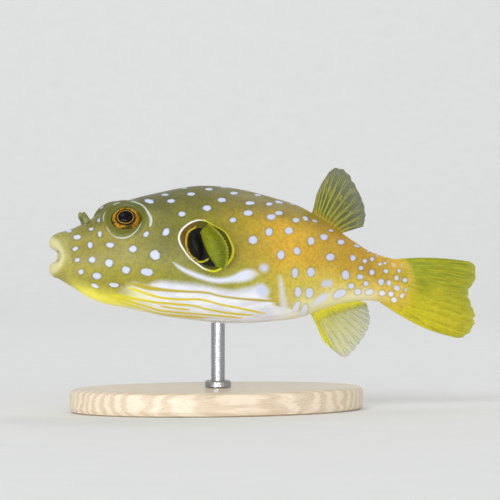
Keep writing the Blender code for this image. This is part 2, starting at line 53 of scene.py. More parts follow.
body = {
    # back, height of the back line, height of the belly line, half the width
    "stations": [
        (3.1, 7.9, -7.7, 6.1), (8.4, 9.5, -10.9, 8.0), (13.5, 12.1, -14.2, 10.0),
        (18.6, 15.1, -16.2, 11.9), (26.3, 18.7, -17.8, 14.3), (38.0, 21.9, -20.4, 17.4),
        (52.8, 24.4, -22.6, 19.6), (65.3, 23.5, -23.5, 19.7), (78.0, 20.6, -23.0, 17.4),
        (88.9, 17.2, -21.6, 13.9), (97.0, 12.6, -18.9, 10.7), (107.3, 5.9, -16.4, 7.0),
        (114.7, 1.5, -15.9, 4.5), (121.5, -0.7, -17.1, 2.7), (126.5, -1.7, -17.8, 1.3),
    ],
    "widestAt": 0.47,
    "headBoxiness": 2.75,
    "trunkBoxiness": 2.15,
    "bellyBoxiness": 2.1,
    "headFades": (30, 60),   # where the head's boxy section gives way to the trunk's
    "snoutFades": (4, 20),
    "tailBulge": 3.5,
    "tailBulgeFrom": 116,
    "rimTaper": 0.4,         # the skin's last rings sink into the tail fin's flesh
    "rimTaperFrom": 123.5,
    # behind the lips' crest, half width, half height, from the throat outwards
    "mouthRings": [
        (6.6, 1.0, 0.6), (6.0, 2.2, 1.5), (3.4, 2.6, 1.9), (1.6, 2.9, 2.2), (0.5, 3.5, 2.9),
        (0.0, 4.2, 4.1), (0.1, 4.8, 5.3), (0.8, 5.4, 6.5), (1.8, 5.8, 7.3),
    ],
    "lipRecess": 3.5,
    "lipRecessFades": (1.5, 9.0),
    "columns": 224,          # points round each ring
    "fineColumns": 1441,     # points that a ring is worked out from
    "headStep": 0.36,        # distance between rings
    "trunkStep": 0.5,
    "stepChanges": (36, 44),
    "mouthSteps": 6,         # rings between two of the mouth's
}
tailEndBack = body["stations"][-1][0]

eye = {
    "place": (24.9, 8.2, 11.6),
    "radius": 5.9,
    "axis": (-0.10, 0.875, 0.47),
    "gaze": (-0.16, 0.945, 0.285),
    "corneaRadius": 4.3,
    "corneaOut": 2.1,
    "corneaBlend": 0.35,
    "corneaEnds": 1.3,       # radians from the gaze, behind which the ball is plain
    "orbitPlace": (24.5, 8.3, 12.4),
    "orbitHalf": (8.2, 7.3, 3.9),
    "orbitSunk": 6.2,
    "orbitFades": 15.0,      # the swelling is gone beyond this distance
    "swellsFrom": 4.0,       # how far behind the eyeball's middle the swelling starts
    "blend": 1.3,            # how softly the swelling meets the head
    "lidRadius": 5.6,
    "lidHeight": 0.4,
    "lidWidth": 0.5,
    "opening": (4.55, 5.35),     # half the length of the opening in the skin, inside and on its rim
    "openingFlat": 0.74,     # its height as a share of its length
    "openingLow": 1.05,      # how far its middle lies below the eyeball's
    "ovalFades": (6.5, 11.5),
    "gather": ((0, 2.2, 6.4, 9.5, 12), (0, 4.5, 6.3, 9.5, 12)),   # skin drawn from here to there for the lid
    "lidOver": 0.3,          # the lid's skin over the eyeball
    "crown": (0.35, 3.6),    # height and reach of the extra room over the cornea
    "drapeBlend": 0.7,
    "dive": 3.6,             # how deep the skin goes in the opening
}


def softMost(first, second, softness):
    # the greater of two heights, with a smooth change from one to the other
    gap = np.clip(0.5 + 0.5 * (first - second) / softness, 0, 1)
    return second + (first - second) * gap + softness * gap * (1 - gap)


def smoothStep(low, high, value):
    share = np.clip((np.asarray(value, float) - low) / (high - low), 0, 1)
    return share * share * (3 - 2 * share)


def between(pair, share):
    return pair[0] + (pair[1] - pair[0]) * share


def globeReach(angle):
    # the eyeball's surface from its centre, with the cornea's low dome in front
    offset = eye["corneaOut"] * np.cos(angle)
    dome = offset + np.sqrt(np.maximum(offset**2 + eye["corneaRadius"] ** 2 - eye["corneaOut"] ** 2, 0))
    blended = softMost(dome, eye["radius"], eye["corneaBlend"])
    return np.where(angle < eye["corneaEnds"], blended, eye["radius"])


def toMetres(points):
    shifted = np.asarray(points, float) + (placing["snoutX"], 0, placing["mouthHeight"])
    return shifted * placing["millimetre"]


def alongBody(back):
    # the same smooth curves as the solids: height of the back, height of the belly, half width
    rows = np.array(body["stations"])
    at, values = rows[:, 0], rows[:, 1:]
    slopes = np.gradient(values, at, axis=0)
    back = np.atleast_1d(np.asarray(back, float))
    k = np.clip(np.searchsorted(at, back) - 1, 0, len(at) - 2)
    length = (at[k + 1] - at[k])[:, None]
    t = (back[:, None] - at[k][:, None]) / length
    made = ((2 * t**3 - 3 * t**2 + 1) * values[k] + (t**3 - 2 * t**2 + t) * length * slopes[k]
            + (3 * t**2 - 2 * t**3) * values[k + 1] + (t**3 - t**2) * length * slopes[k + 1])
    return made.T


def evenRing(points, count):
    # the ring again with evenly spaced points, starting at the belly
    steps = np.linalg.norm(np.diff(points[:, 1:], axis=0), axis=1)
    length = np.concatenate([[0], np.cumsum(steps)])
    wanted = np.linspace(0, length[-1], count, endpoint=False)
    ring = np.stack([np.interp(wanted, length, points[:, axis]) for axis in range(3)], axis=1)
    return ring, length[-1]


def bodyRing(back, count):
    top, bottom, half = (float(row[0]) for row in alongBody(back))
    half *= 1 - body["rimTaper"] * float(smoothStep(body["rimTaperFrom"], tailEndBack, back))
    middle = bottom + body["widestAt"] * (top - bottom)
    head = 1 - smoothStep(*body["headFades"], back)
    rounding = smoothStep(*body["snoutFades"], back)
    upper = between((body["trunkBoxiness"], body["headBoxiness"]), head * rounding)
    angle = np.linspace(-0.5 * np.pi, 1.5 * np.pi, body["fineColumns"])
    c, s = np.cos(angle), np.sin(angle)
    share = 2 / np.where(s >= 0, upper, body["bellyBoxiness"])
    c, s = np.sign(c) * np.abs(c) ** share, np.sign(s) * np.abs(s) ** share
    recess = body["lipRecess"] * np.cos(angle) ** 2 * (1 - smoothStep(*body["lipRecessFades"], back))
    bulge = body["tailBulge"] * smoothStep(body["tailBulgeFrom"], tailEndBack, back) * (1 - s * s)
    x = back + recess + bulge
    z = middle + s * np.where(s >= 0, top - middle, middle - bottom)
    return evenRing(np.stack([x, -half * c, z], axis=1), count)


def mouthRing(behind, halfWidth, halfHeight, count):
    angle = np.linspace(-0.5 * np.pi, 1.5 * np.pi, body["fineColumns"])
    x = behind + body["lipRecess"] * np.cos(angle) ** 2
    return evenRing(np.stack([x, -halfWidth * np.cos(angle), halfHeight * np.sin(angle)], axis=1), count)


def throughRows(rows, share):
    # a smooth curve through the rows, share counted in rows
    k = int(min(max(math.floor(share), 0), len(rows) - 2))
    t = share - k
    a, b = rows[k], rows[k + 1]
    before = rows[k - 1] if k else 2 * a - b
    after = rows[k + 2] if k + 2 < len(rows) else 2 * b - a
    return 0.5 * (2 * a + (b - before) * t + (2 * before - 5 * a + 4 * b - after) * t**2
                  + (3 * a - before - 3 * b + after) * t**3)


def skinGrid():
    # rings of points from the throat over the lips to the tail, their backs and their lengths
    count = body["columns"]
    start = body["stations"][0][0]
    control = [mouthRing(*row, count)[0] for row in body["mouthRings"]]
    control += [bodyRing(start + extra, count)[0] for extra in (0, 1.3, 2.6)]
    control = np.array(control)
    rings, backs, lengths = [], [], []
    for k in range(len(body["mouthRings"]) * body["mouthSteps"]):
        share = k / body["mouthSteps"]
        ring = throughRows(control, share)
        rings.append(ring)
        backs.append(share / len(body["mouthRings"]) - 1)       # -1 in the throat, 0 behind the lips
        closed = np.vstack([ring, ring[:1]])
        lengths.append(np.linalg.norm(np.diff(closed[:, 1:], axis=0), axis=1).sum())
    back = start
    while back < tailEndBack - body["trunkStep"] / 2:
        ring, length = bodyRing(back, count)
        rings.append(ring)
        backs.append(back)
        lengths.append(length)
        change = float(smoothStep(*body["stepChanges"], back))
        back += between((body["headStep"], body["trunkStep"]), change)
    ring, length = bodyRing(tailEndBack, count)
    return np.array([*rings, ring]), np.array([*backs, tailEndBack]), np.array([*lengths, length])


def gridNormals(points):
    # outward normals of a tube of rings
    along = np.gradient(points, axis=0)
    padded = np.concatenate([points[:, -1:], points, points[:, :1]], axis=1)
    across = padded[:, 2:] - padded[:, :-2]
    normal = np.cross(across, along)
    normal /= np.maximum(np.linalg.norm(normal, axis=2, keepdims=True), tiny)
    return normal


def onSide(place, side):
    return np.array(place) * (1, side, 1)


def eyeAxes(side, name="axis"):
    # the eyeball's middle, then the ways along the head, up and outwards
    out = onSide(eye[name], side)
    out = out / np.linalg.norm(out)
    along = np.array((1.0, 0, 0)) - out * out[0]
    along /= np.linalg.norm(along)
    return onSide(eye["place"], side), along, np.cross(along, out) * side, out


def swellOrbit(points, side):
    # the flesh round the eyeball swells
    centre, along, up, out = eyeAxes(side)
    inside = centre - eye["swellsFrom"] * out
    way = points - inside
    reach = np.linalg.norm(way, axis=-1)
    way = way / reach[..., None]
    turn = np.stack([along, up, out])
    start = (inside - onSide(eye["orbitPlace"], side)) @ turn.T
    local = way @ turn.T
    swollen = np.zeros(points.shape[:-1])
    for depth, outer in ((eye["orbitHalf"][2], True), (eye["orbitSunk"], False)):
        size = np.array((*eye["orbitHalf"][:2], depth))
        p, q = start / size, local / size
        a, b, c = (q * q).sum(-1), 2 * (q * p).sum(-1), float((p * p).sum()) - 1
        root = (-b + np.sqrt(np.maximum(b * b - 4 * a * c, 0))) / (2 * a)
        height = start[2] + root * local[..., 2]
        swollen = np.where((height > 0) == outer, np.maximum(swollen, root), swollen)
    near = np.exp(-np.maximum(np.linalg.norm(points - centre, axis=-1) - eye["orbitFades"], 0) ** 2)
    lifted = softMost(swollen, reach, eye["blend"])
    reach = np.where((way @ out) > -0.35, reach + (lifted - reach) * near, reach)
    return inside + way * reach[..., None]


def openLids(points, side):
    # the swelling rolls into a lid and dives under the eyeball
    centre, along, up, out = eyeAxes(side)
    away = points - centre
    height, wide, high = away @ out, away @ along, away @ up
    facing = (height > -1) & (np.hypot(wide, high) < eye["gather"][0][-1])
    close = 1 - smoothStep(*eye["ovalFades"], np.hypot(wide, high))
    low, stretch = eye["openingLow"] * close, 1 + (1 / eye["openingFlat"] - 1) * close
    flatHigh = (high + low) * stretch
    oval = np.hypot(wide, flatHigh)
    gathered = np.interp(oval, *eye["gather"])
    scale = np.where(facing, gathered / np.maximum(oval, 1e-6), 1)
    wide, high, oval = wide * scale, flatHigh * scale / stretch - low, np.where(facing, gathered, oval)
    radius = np.hypot(wide, high)
    globe = eye["radius"] ** 2 - radius**2
    drape = np.sqrt(np.maximum(globe, 0)) + eye["lidOver"]
    drape = drape + eye["crown"][0] * np.exp(-(radius / eye["crown"][1]) ** 4)
    drape = np.where(globe > 0, drape, -9)
    lid = eye["lidHeight"] * np.exp(-((oval - eye["lidRadius"]) / eye["lidWidth"]) ** 2)
    dive = eye["dive"] * (1 - smoothStep(*eye["opening"], oval))
    height = np.where(facing, softMost(drape, height, eye["drapeBlend"]) + lid - dive, height)
    return centre + wide[..., None] * along + high[..., None] * up + height[..., None] * out


gill = {
    "place": (46.9, 3.4),    # back and up of its middle
    "half": (2.2, 5.7),      # half its width and height
    "tilt": 17.0,            # degrees
    "depth": 2.3,
    "bed": (0.35, 1.0),      # shares of its half size between which it deepens
    "flap": (0.5, 1.12, 0.16),   # height, place and width of the gill cover's raised edge
    "flapFades": (0.5, -1.5),
    "flank": (8, 12),        # half widths between which it sets in
}


def gillField(points):
    # 1 on the rim of the slit, 0 in its middle, and the way across it in millimetres
    tilt = math.radians(gill["tilt"])
    x, z = points[..., 0] - gill["place"][0], points[..., 2] - gill["place"][1]
    along = x * math.cos(tilt) + z * math.sin(tilt)
    up = z * math.cos(tilt) - x * math.sin(tilt)
    return np.sqrt((along / gill["half"][0]) ** 2 + (up / gill["half"][1]) ** 2), along


def carveGills(points, normals):
    field, along = gillField(points)
    flank = smoothStep(*gill["flank"], np.abs(points[..., 1]))
    depth = gill["depth"] * (1 - smoothStep(*gill["bed"], field))
    height, place, width = gill["flap"]
    flap = height * np.exp(-((field - place) / width) ** 2) * smoothStep(*gill["flapFades"], along)
    return points + normals * ((flap - depth) * flank)[..., None]


# the rim's distance from the middle and its width, then the dent's depth as a share and its width
vent = {"place": (88.0, -21.8), "height": 0.5, "rim": (1.1, 0.7), "dent": (0.6, 0.6)}


def raiseVent(points, normals):
    x, z = vent["place"]
    away = np.sqrt((points[..., 0] - x) ** 2 + points[..., 1] ** 2 + (points[..., 2] - z) ** 2)
    (rim, rimWidth), (dent, dentWidth) = vent["rim"], vent["dent"]
    ridge = np.exp(-((away - rim) / rimWidth) ** 2) - dent * np.exp(-(away / dentWidth) ** 2)
    return points + normals * (vent["height"] * ridge)[..., None]


def buildObject(name, points, faces):
    mesh = bpy.data.meshes.new(name)
    mesh.from_pydata(np.asarray(points).tolist(), [], faces)
    mesh.update()
    made = bpy.data.objects.new(name, mesh)
    scene.collection.objects.link(made)
    mesh.shade_smooth()
    return made


def tubeFaces(rows, columns, start, tips):
    # quads between rings of points, the first ring at start, and a fan to the point at either end
    faces = []
    for row in range(rows - 1):
        for column in range(columns):
            after = (column + 1) % columns
            a, b = start + row * columns, start + (row + 1) * columns
            faces.append((a + column, a + after, b + after, b + column))
    last = start + (rows - 1) * columns
    for column in range(columns):
        after = (column + 1) % columns
        faces.append((tips[0], start + after, start + column))
        faces.append((tips[1], last + column, last + after))
    return faces


def fixNormals(made):
    bm = bmesh.new()
    bm.from_mesh(made.data)
    bmesh.ops.recalc_face_normals(bm, faces=bm.faces)
    bm.to_mesh(made.data)
    bm.free()
    made.data.shade_smooth()


print("skin: shaping the body")
grid, ringBacks, ringLengths = skinGrid()
for side in (-1, 1):
    grid = openLids(swellOrbit(grid, side), side)
grid = carveGills(grid, gridNormals(grid))
grid = raiseVent(grid, gridNormals(grid))
rowCount, columnCount = grid.shape[:2]
skinPoints = grid.reshape(-1, 3)
skinNormals = gridNormals(grid).reshape(-1, 3)
throat, tailEnd = grid[0].mean(0), grid[-1].mean(0)
skinPoints = np.vstack([skinPoints, throat, tailEnd])
skinNormals = np.vstack([skinNormals, (-1, 0, 0), (1, 0, 0)])
skinFaces = tubeFaces(rowCount, columnCount, 0, (rowCount * columnCount, rowCount * columnCount + 1))
skin = buildObject("skin", toMetres(skinPoints), skinFaces)
fixNormals(skin)
skinTree = BVHTree.FromPolygons(skinPoints.tolist(), skinFaces)
above = skinTree.ray_cast(Vector((60, 0, 60)), Vector((0, 0, -1)))[1]
skinOutward = 1 if above.z > 0 else -1      # the way that the search tree's normals point

share = np.arange(columnCount) / columnCount
ringShare = 1 - np.abs(1 - 2 * share)                # 0 on the belly's middle line, 1 on the back's
skinShare = np.append(np.tile(ringShare, rowCount), (0.5, 0.5))
# millimetres up from the belly line
skinArc = np.append(np.outer(ringLengths, ringShare / 2).reshape(-1), (0, 0))
skinBack = np.append(np.repeat(ringBacks, columnCount), (-1, tailEndBack))


# The camera stands square to the photograph's view and holds its frame of 500 by 500.
view = {
    "azimuth": -14.0,
    "distance": 700.0,
    "target": (11.5, 0.0, 55.85),
    "lens": 144.0,
    "sensor": 36.0,
    "frame": 500,
}
turned = math.radians(view["azimuth"])
viewRight = np.array((math.cos(turned), math.sin(turned), 0))
viewForward = np.array((-math.sin(turned), math.cos(turned), 0))
viewUp = np.array((0, 0, 1.0))
viewPoint = np.array(view["target"]) - viewForward * view["distance"]
viewPoint = viewPoint - (placing["snoutX"], 0, placing["mouthHeight"])
pixelSize = view["sensor"] / view["lens"] * view["distance"] / view["frame"]


def seen(x, y):
    # where the view through that point of the frame meets the skin: place, normal and way
    half = view["frame"] / 2
    way = viewForward * view["distance"] + (viewRight * (x - half) + viewUp * (half - y)) * pixelSize
    way /= np.linalg.norm(way)
    place, normal, *rest = skinTree.ray_cast(Vector(viewPoint), Vector(way))
    if place is None:               # just outside the outline: the nearest skin
        middle = viewPoint - way * viewPoint[1] / way[1]
        place, normal, *rest = skinTree.find_nearest(Vector(middle))
    normal = np.array(normal)
    if normal @ way > 0:
        normal = -normal
    return np.array(place), normal, way


# Spots as they stand in the photograph's frame: x, y, half length, half height, tilt in degrees.
spots = {
    "head": [
        (69, 231, 3, 1.2, 8), (77, 237, 3.3, 2.3, 0), (75, 249, 2.8, 1.6, 20), (77, 260, 2.6, 1.8, 25),
        (81, 272, 2.4, 2.2, 0), (91, 229, 2.2, 1.5, 20), (100, 234, 1.8, 2.8, 0), (90, 245, 2.4, 2.8, 0),
        (92, 260, 3.2, 2.8, 0), (110, 245, 4, 2.4, -4), (109, 263, 3.8, 3.6, 0), (97, 276, 4, 3, -10),
        (95, 286, 3.6, 1.8, -25), (114, 285, 4.6, 2, -8), (133, 249, 3.8, 3, 10), (126, 270, 4.2, 3.4, -10),
        (155, 255, 5, 4.4, -25), (147, 272, 6, 3.6, -8), (146, 234, 3.2, 2.1, 40), (166, 232, 4.2, 2.8, 50),
        (99, 220, 2, 1.1, 70), (85, 223.6, 1.2, 1.0, 0), (102, 207.4, 2.4, 0.8, 35),
    ],
    "nape": [
        (149, 201, 4.6, 1.8, -10), (171, 201, 3.8, 1.8, 0), (182, 214, 3.5, 2.3, 0), (165, 194.7, 3.6, 1, 0),
        (184, 188, 3.4, 1, 0), (191, 194, 4, 1.5, 0), (209, 189, 3.6, 1.2, 0), (207, 208, 4.2, 2.6, 0),
        (222, 200, 4.2, 2, 0),
    ],
    "flank": [
        (224, 187.3, 3.4, 0.8, 0), (234, 193, 3.6, 1.4, 0), (233, 220, 3.2, 2.4, 0), (250, 203, 4.4, 1.8, 0),
        (248, 213, 4.4, 2.6, 0), (258, 195, 3.4, 1, 0), (269, 204, 3.2, 1.6, 0), (279, 202, 4, 1.2, -10),
        (271, 217, 4.2, 2.8, 0), (279, 213, 3.8, 2, 0), (293, 204, 3, 0.8, 0), (296, 220, 3.4, 2.2, 0),
        (305.6, 218.5, 2.8, 1.8, -40), (315, 221, 3, 1, -20), (253, 240, 4.2, 3.8, 0),
        (269, 232, 3.4, 3.8, 0), (289, 230.5, 4, 3.2, 0), (297, 251, 3.2, 3.6, 0), (311, 241, 3.2, 3.8, 0),
        (281, 255, 3.4, 4.2, 0), (295, 273, 2.8, 5, 0), (311, 272, 3.6, 4.4, 0), (298, 292, 3, 5, 0),
        (309.5, 293, 3.6, 5, 0), (296, 308, 7, 2.5, 60), (304, 312, 7, 3, 65),
    ],
    "tail": [
        (324, 237, 3.6, 3, 0), (341, 242, 3.4, 2.4, 0), (331, 230.5, 2.4, 1, 0), (357, 246, 3, 1.2, -8),
        (368, 251.5, 1.5, 0.9, 0), (377, 256, 1.4, 0.9, 0), (330, 257, 4.2, 3.4, 0), (353, 258, 2.6, 2.8, 0),
        (365, 261, 2.2, 2.2, 0), (372, 259, 1.9, 1.9, 0), (380, 264, 1.6, 1.6, 0), (385, 263, 1.2, 1.2, 0),
        (388, 260.5, 1, 1, 0), (361, 268, 2.2, 2.2, 0), (372, 272.5, 2.6, 2.6, 0), (386, 271, 2.2, 2.2, 0),
        (399, 271, 1.8, 1.8, 0), (408, 271, 1.6, 1.6, 0), (345.5, 275, 3.6, 4.4, 0), (360, 277, 2.8, 2.4, 0),
        (396.5, 278, 2, 2.4, 0), (405, 280, 2.4, 2.2, 0), (366, 283.5, 2.6, 2.6, 0), (351, 286, 3, 2.8, 0),
        (381, 282, 2.8, 3.2, 0), (389, 283, 2.2, 2.8, 0), (397, 288, 2.8, 2.6, 0), (406, 290, 1.8, 1.8, 0),
        (339.5, 294, 7, 3.6, 25), (358, 292, 3, 2.8, 0), (369.5, 292, 4, 2.8, 20), (382, 293, 3, 2.6, 0),
        (391, 294, 2.4, 2.6, 0), (403, 296, 2.8, 2.6, 0), (394, 300, 2.8, 2.6, 0),
    ],
    "faint": [
        (309, 210.6, 2.4, 1, -30), (264, 268, 4.6, 4.6, 0), (262, 291, 6, 7, 0), (327, 283.5, 6, 4, 15),
        (393, 265, 1.4, 1.4, 0), (402, 265, 1.4, 1.4, 0), (414, 291, 2, 2, 0), (403, 306, 2.8, 1.6, 0),
        (320, 300, 10, 3.6, 40), (136, 196, 3, 0.8, 8),
    ],
    "jitter": 0.8,           # how far the right flank's spots stray from the left's
    "grow": (0.88, 1.12),    # and how much they shrink or grow
    "midline": 2.2,          # spots nearer to the body's middle than this aren't mirrored
    "reach": 3.5,            # millimetres round a spot in which it counts
    "crown": (34, 92, 0.8),  # from back, to back, lowest share of the height
    "crownSpacing": 6.2,
    "crownCount": 46,
    "crownSize": (0.75, 1.15),
    "seed": 11,
}


def spotFrame(x, y, length, height, tilt):
    # a spot's place on the skin and its two half axes along the skin
    place, normal, way = seen(x, y)
    depth = (place - viewPoint) @ viewForward / view["distance"]
    slant = way @ normal
    slant = math.copysign(max(abs(slant), 0.24), slant)
    turn = math.radians(tilt)
    axes = []
    for size, c, s in ((length, math.cos(turn), math.sin(turn)), (height, -math.sin(turn), math.cos(turn))):
        flat = (viewRight * c + viewUp * s) * size * pixelSize * depth
        flat = flat - way * (flat @ normal) / slant
        axes.append(flat - normal * (flat @ normal))
    return place, normal, axes[0], axes[1]


def addSpot(mark, level):
    # lowers the skin's field of spots to this spot's signed distance in millimetres
    place, normal, first, second = mark
    spotPlaces.append(place)
    small, big = sorted((np.linalg.norm(first), np.linalg.norm(second)))
    near = np.nonzero(np.linalg.norm(skinPoints - place, axis=1) < big + spots["reach"])[0]
    if not len(near):
        return
    away = skinPoints[near] - place
    local = np.linalg.solve(np.stack([first, second, normal], axis=1), away.T)
    share = np.sqrt(local[0] ** 2 + local[1] ** 2)
    flat = np.linalg.norm(away - np.outer(away @ normal, normal), axis=1)
    distance = np.where(share > 1e-3, (share - 1) * flat / np.maximum(share, 1e-3), -small)
    distance += 0.8 * np.maximum(np.abs(local[2]) - 2.5, 0)      # a spot stays on its own flank
    lower = distance < spotField[near]
    spotField[near] = np.where(lower, distance, spotField[near])
    spotLevel[near] = np.where(lower, level, spotLevel[near])


def mirrored(mark, rng):
    place, normal, first, second = (np.array(part) * (1, -1, 1) for part in mark)
    slip = rng.normal(0, spots["jitter"] / 2, 2)
    for axis, way in zip((first, second), slip):
        place = place + axis / (np.linalg.norm(axis) + tiny) * way
    grow = rng.uniform(*spots["grow"])
    return place, normal, first * grow, second * grow


print("skin: placing the spots")
rng = np.random.default_rng(spots["seed"])
farAway = 4.0
spotField = np.full(len(skinPoints), farAway)
spotLevel = np.ones(len(skinPoints))
spotPlaces = []
for region in ("head", "nape", "flank", "tail", "faint"):
    level = 0.0 if region == "faint" else 1.0
    for row in spots[region]:
        mark = spotFrame(*row)
        addSpot(mark, level)
        if abs(mark[0][1]) > spots["midline"]:
            addSpot(mirrored(mark, rng), level)

first, last, lowest = spots["crown"]
crown = np.nonzero((skinBack > first) & (skinBack < last) & (skinShare > lowest))[0]
added = 0
for index in rng.permutation(crown):
    place = skinPoints[index]
    if min(np.linalg.norm(place - other) for other in spotPlaces) < spots["crownSpacing"]:
        continue
    normal = skinNormals[index]
    first = np.cross(normal, (0, 1, 0))
    first /= np.linalg.norm(first)
    size = rng.uniform(*spots["crownSize"])
    addSpot((place, normal, first * size * 1.25, np.cross(normal, first) * size), 1.0)
    added += 1
    if added == spots["crownCount"]:
        break


# Lines as points in the photograph's frame, each with half its width in pixels
lines = {
    # y against x, then half the width against x
    "belly": [
        ([(131, 283.8), (139, 285.6), (148.6, 288), (160, 289.4), (170, 290.6), (187, 291.6),
          (205.7, 292.6), (220, 296), (241, 298.7), (263, 300.5), (274, 301)],
         [(131, 1.0), (140, 1.9), (150, 2.1), (165, 1.6), (200, 1.2), (240, 1.1), (262, 1.3), (274, 1.0)]),
        ([(128.6, 287.9), (140, 291.4), (148.6, 294.3), (162.9, 297.9), (177, 299.3), (200, 299.6),
          (209, 301.4), (220, 304.3), (241, 308.6), (264, 313.4)],
         [(130, 1.0), (160, 1.2), (220, 1.0), (262, 0.8)]),
        ([(114, 295), (124, 297), (137, 299.3), (155.7, 302.4), (177, 304.3), (194.3, 305.9),
          (205.7, 309), (228.6, 313.1), (252, 315.2)],
         [(116, 0.8), (150, 1.2), (200, 1.0), (250, 0.7)]),
        ([(160, 306), (177, 308.6), (190, 309.8)], [(160, 0.4), (175, 0.8), (190, 0.3)]),
        ([(110, 297), (122, 299.6), (134.3, 302.9), (148.6, 307.1), (162.9, 311), (184.3, 312.9),
          (208.6, 315), (241.4, 317.9)],
         [(112, 0.7), (150, 1.1), (200, 0.9), (240, 0.6)]),
        ([(118, 301.5), (130, 305), (141.4, 308.6), (162.9, 314.3), (184, 316.4), (206, 317.6)],
         [(118, 0.6), (150, 1.0), (206, 0.6)]),
    ],
    "frontStreak": (
        [(173, 262.5), (182, 268.8), (191, 273), (203, 277.4), (214, 280), (224, 280.4), (234, 278.6),
         (245, 275.6), (256, 274)],
        [(174.5, 0.2), (178, 1.2), (184, 1.8), (206, 2.3), (222, 2.4), (234, 3.6), (245, 5.6),
         (252, 4.6), (258, 1.0)]),
    "bellyTop": [(96, 300), (104, 296.5), (112, 293), (120, 289), (128, 284), (134, 282.4), (141, 284.6),
                 (147, 285.2), (153, 282), (160, 281), (170, 281.4), (180, 282.6), (195, 284), (208, 285.6),
                 (218, 288), (229, 290), (240, 288.6), (250, 286.8), (262, 283.6), (275, 282)],
    "bellyRear": [(280, 262), (286, 266), (291, 269.5), (297, 269), (301, 274), (305, 276), (308, 289),
                  (312, 300), (317, 307)],      # x against y
    # streaks with half the width at both ends and in the middle: the flank's, then the tail's
    "streaks": [
        ([(280.5, 277), (281.5, 286), (283, 299), (284, 309)], (1.2, 2.8, 4.2)),
        ([(315, 303), (328, 295)], (2, 1.8, 1.4)),
        ([(320, 311), (335, 303)], (1.2, 1.4, 1.2)),
        ([(345, 300), (355, 297)], (0.8, 0.9, 0.6)),
        ([(310, 315), (317, 312)], (0.9, 1.0, 0.7)),
    ],
    # distance from the eye's middle against the share of a turn round it, then half the width
    "eyeMiddle": (125.4, 218.0),
    "eyeBehind": (
        [(0.29, 17.4), (0.308, 17.8), (0.358, 19.3), (0.404, 21.4), (0.462, 23.3), (0.5125, 25.7),
         (0.56, 25.9)],
        [(0.30, 0.3), (0.36, 0.6), (0.42, 0.7), (0.48, 1.2), (0.52, 1.3), (0.55, 0.7)]),
    "eyeRound": (
        [(0.03, 16.2), (0.128, 16.7), (0.21, 18.6), (0.283, 20.5), (0.356, 21.4), (0.424, 20.8),
         (0.497, 22), (0.542, 21.1), (0.631, 17.8), (0.70, 16.4)],
        [(0.05, 0.1), (0.128, 0.35), (0.21, 0.6), (0.283, 0.6), (0.34, 0.25), (0.37, 0.0), (0.39, 0.3),
         (0.424, 0.3), (0.45, -0.6), (0.49, 0.3), (0.54, 0.25), (0.57, -0.8), (0.61, -0.8), (0.64, 0.35),
         (0.68, 0.35), (0.70, 0.0)]),
    "ring": [(205, 220.5), (198, 220.2), (190, 223), (182.5, 229), (179, 236), (180, 243), (184, 250),
             (190, 258), (200, 266), (205, 269), (213, 271.2), (219, 269.5), (227, 264), (232, 257),
             (233, 248), (229, 238), (224, 231), (215, 226), (205, 220.5)],
    "ringWidth": [0.6, 0.7, 0.8, 0.9, 0.9, 0.9, 0.8, 0.8, 0.8, 0.9, 1.0, 1.1, 1.3, 1.3, 1.1, 0.8, 0.6,
                  0.5, 0.6],
    "gillEdge": ([(196, 227), (188.5, 232), (186, 240), (187, 249), (191, 256), (196, 259), (199, 262),
                  (205, 261), (208, 259)], (0.5, 0.8, 0.6)),
    "gillBlack": [(193, 228), (188.5, 236), (188, 246), (192, 255), (199, 262), (207, 266), (217, 266),
                  (224, 260), (226, 253), (214, 250), (206, 240), (203, 229)],
    "underside": (0.68, 0.36),     # more lines, as shares of the way up to the lowest one above
    "undersideEnds": (36, 42, 94, 102),    # backs where they start and stop, softly
    "flankFrom": 9,                # the ring and the black lie on the flanks, further out than this
    "eyeFar": 20.0,
}


def onSkin(points, samples):
    # a smooth line through points of the frame, laid on the skin: the places and the share of the way
    points = np.array(points, float)
    shares = np.linspace(0, len(points) - 1, samples)
    places = [seen(*throughRows(points, share))[0] for share in shares]
    return np.array(places), shares / (len(points) - 1)


def lineDistance(field, places, widths):
    # lowers the field to the distance from a line less half its width, and says how far along it
    share = np.zeros(len(nearSide))
    low, high = places.min(0) - 5, places.max(0) + 5
    near = np.nonzero(((nearSide > low) & (nearSide < high)).all(1))[0]
    some = nearSide[near]
    for k in range(len(places) - 1):
        step = places[k + 1] - places[k]
        t = np.clip((some - places[k]) @ step / max(step @ step, tiny), 0, 1)
        away = np.linalg.norm(some - places[k] - t[:, None] * step, axis=1) - between(widths[k:k + 2], t)
        lower = away < field[near]
        field[near] = np.where(lower, away, field[near])
        share[near] = np.where(lower, (k + t) / (len(places) - 1), share[near])
    return share


def drawOnSkin(field, points, three, samples):
    # a line whose half width is given at both ends and in the middle
    places, shares = onSkin(points, samples)
    lineDistance(field, places, np.interp(shares, [0, 0.5, 1], three) * pixelSize)


print("skin: drawing the lines")
nearSide = skinPoints * (1, 0, 1) - np.abs(skinPoints) * (0, 1, 0)      # both flanks folded onto the left
streakField, gillEdgeField, ringField = np.full((3, len(skinPoints)), farAway)
for points, three in lines["streaks"]:
    drawOnSkin(streakField, points, three, 8 * len(points))
drawOnSkin(gillEdgeField, *lines["gillEdge"], 60)
ringPlaces = onSkin(lines["ring"], 130)[0]
ringWay = lineDistance(ringField, ringPlaces, np.zeros(len(ringPlaces)))
ringHalf = np.interp(ringWay * (len(lines["ring"]) - 1), range(len(lines["ring"])), lines["ringWidth"])


def framePlaces(points):
    # where points of the left flank fall in the photograph's frame
    away = points - viewPoint
    depth = away @ viewForward / view["distance"]
    half = view["frame"] / 2
    x, y = (away @ axis / depth / pixelSize for axis in (viewRight, viewUp))
    return np.stack([half + x, half - y], axis=1)


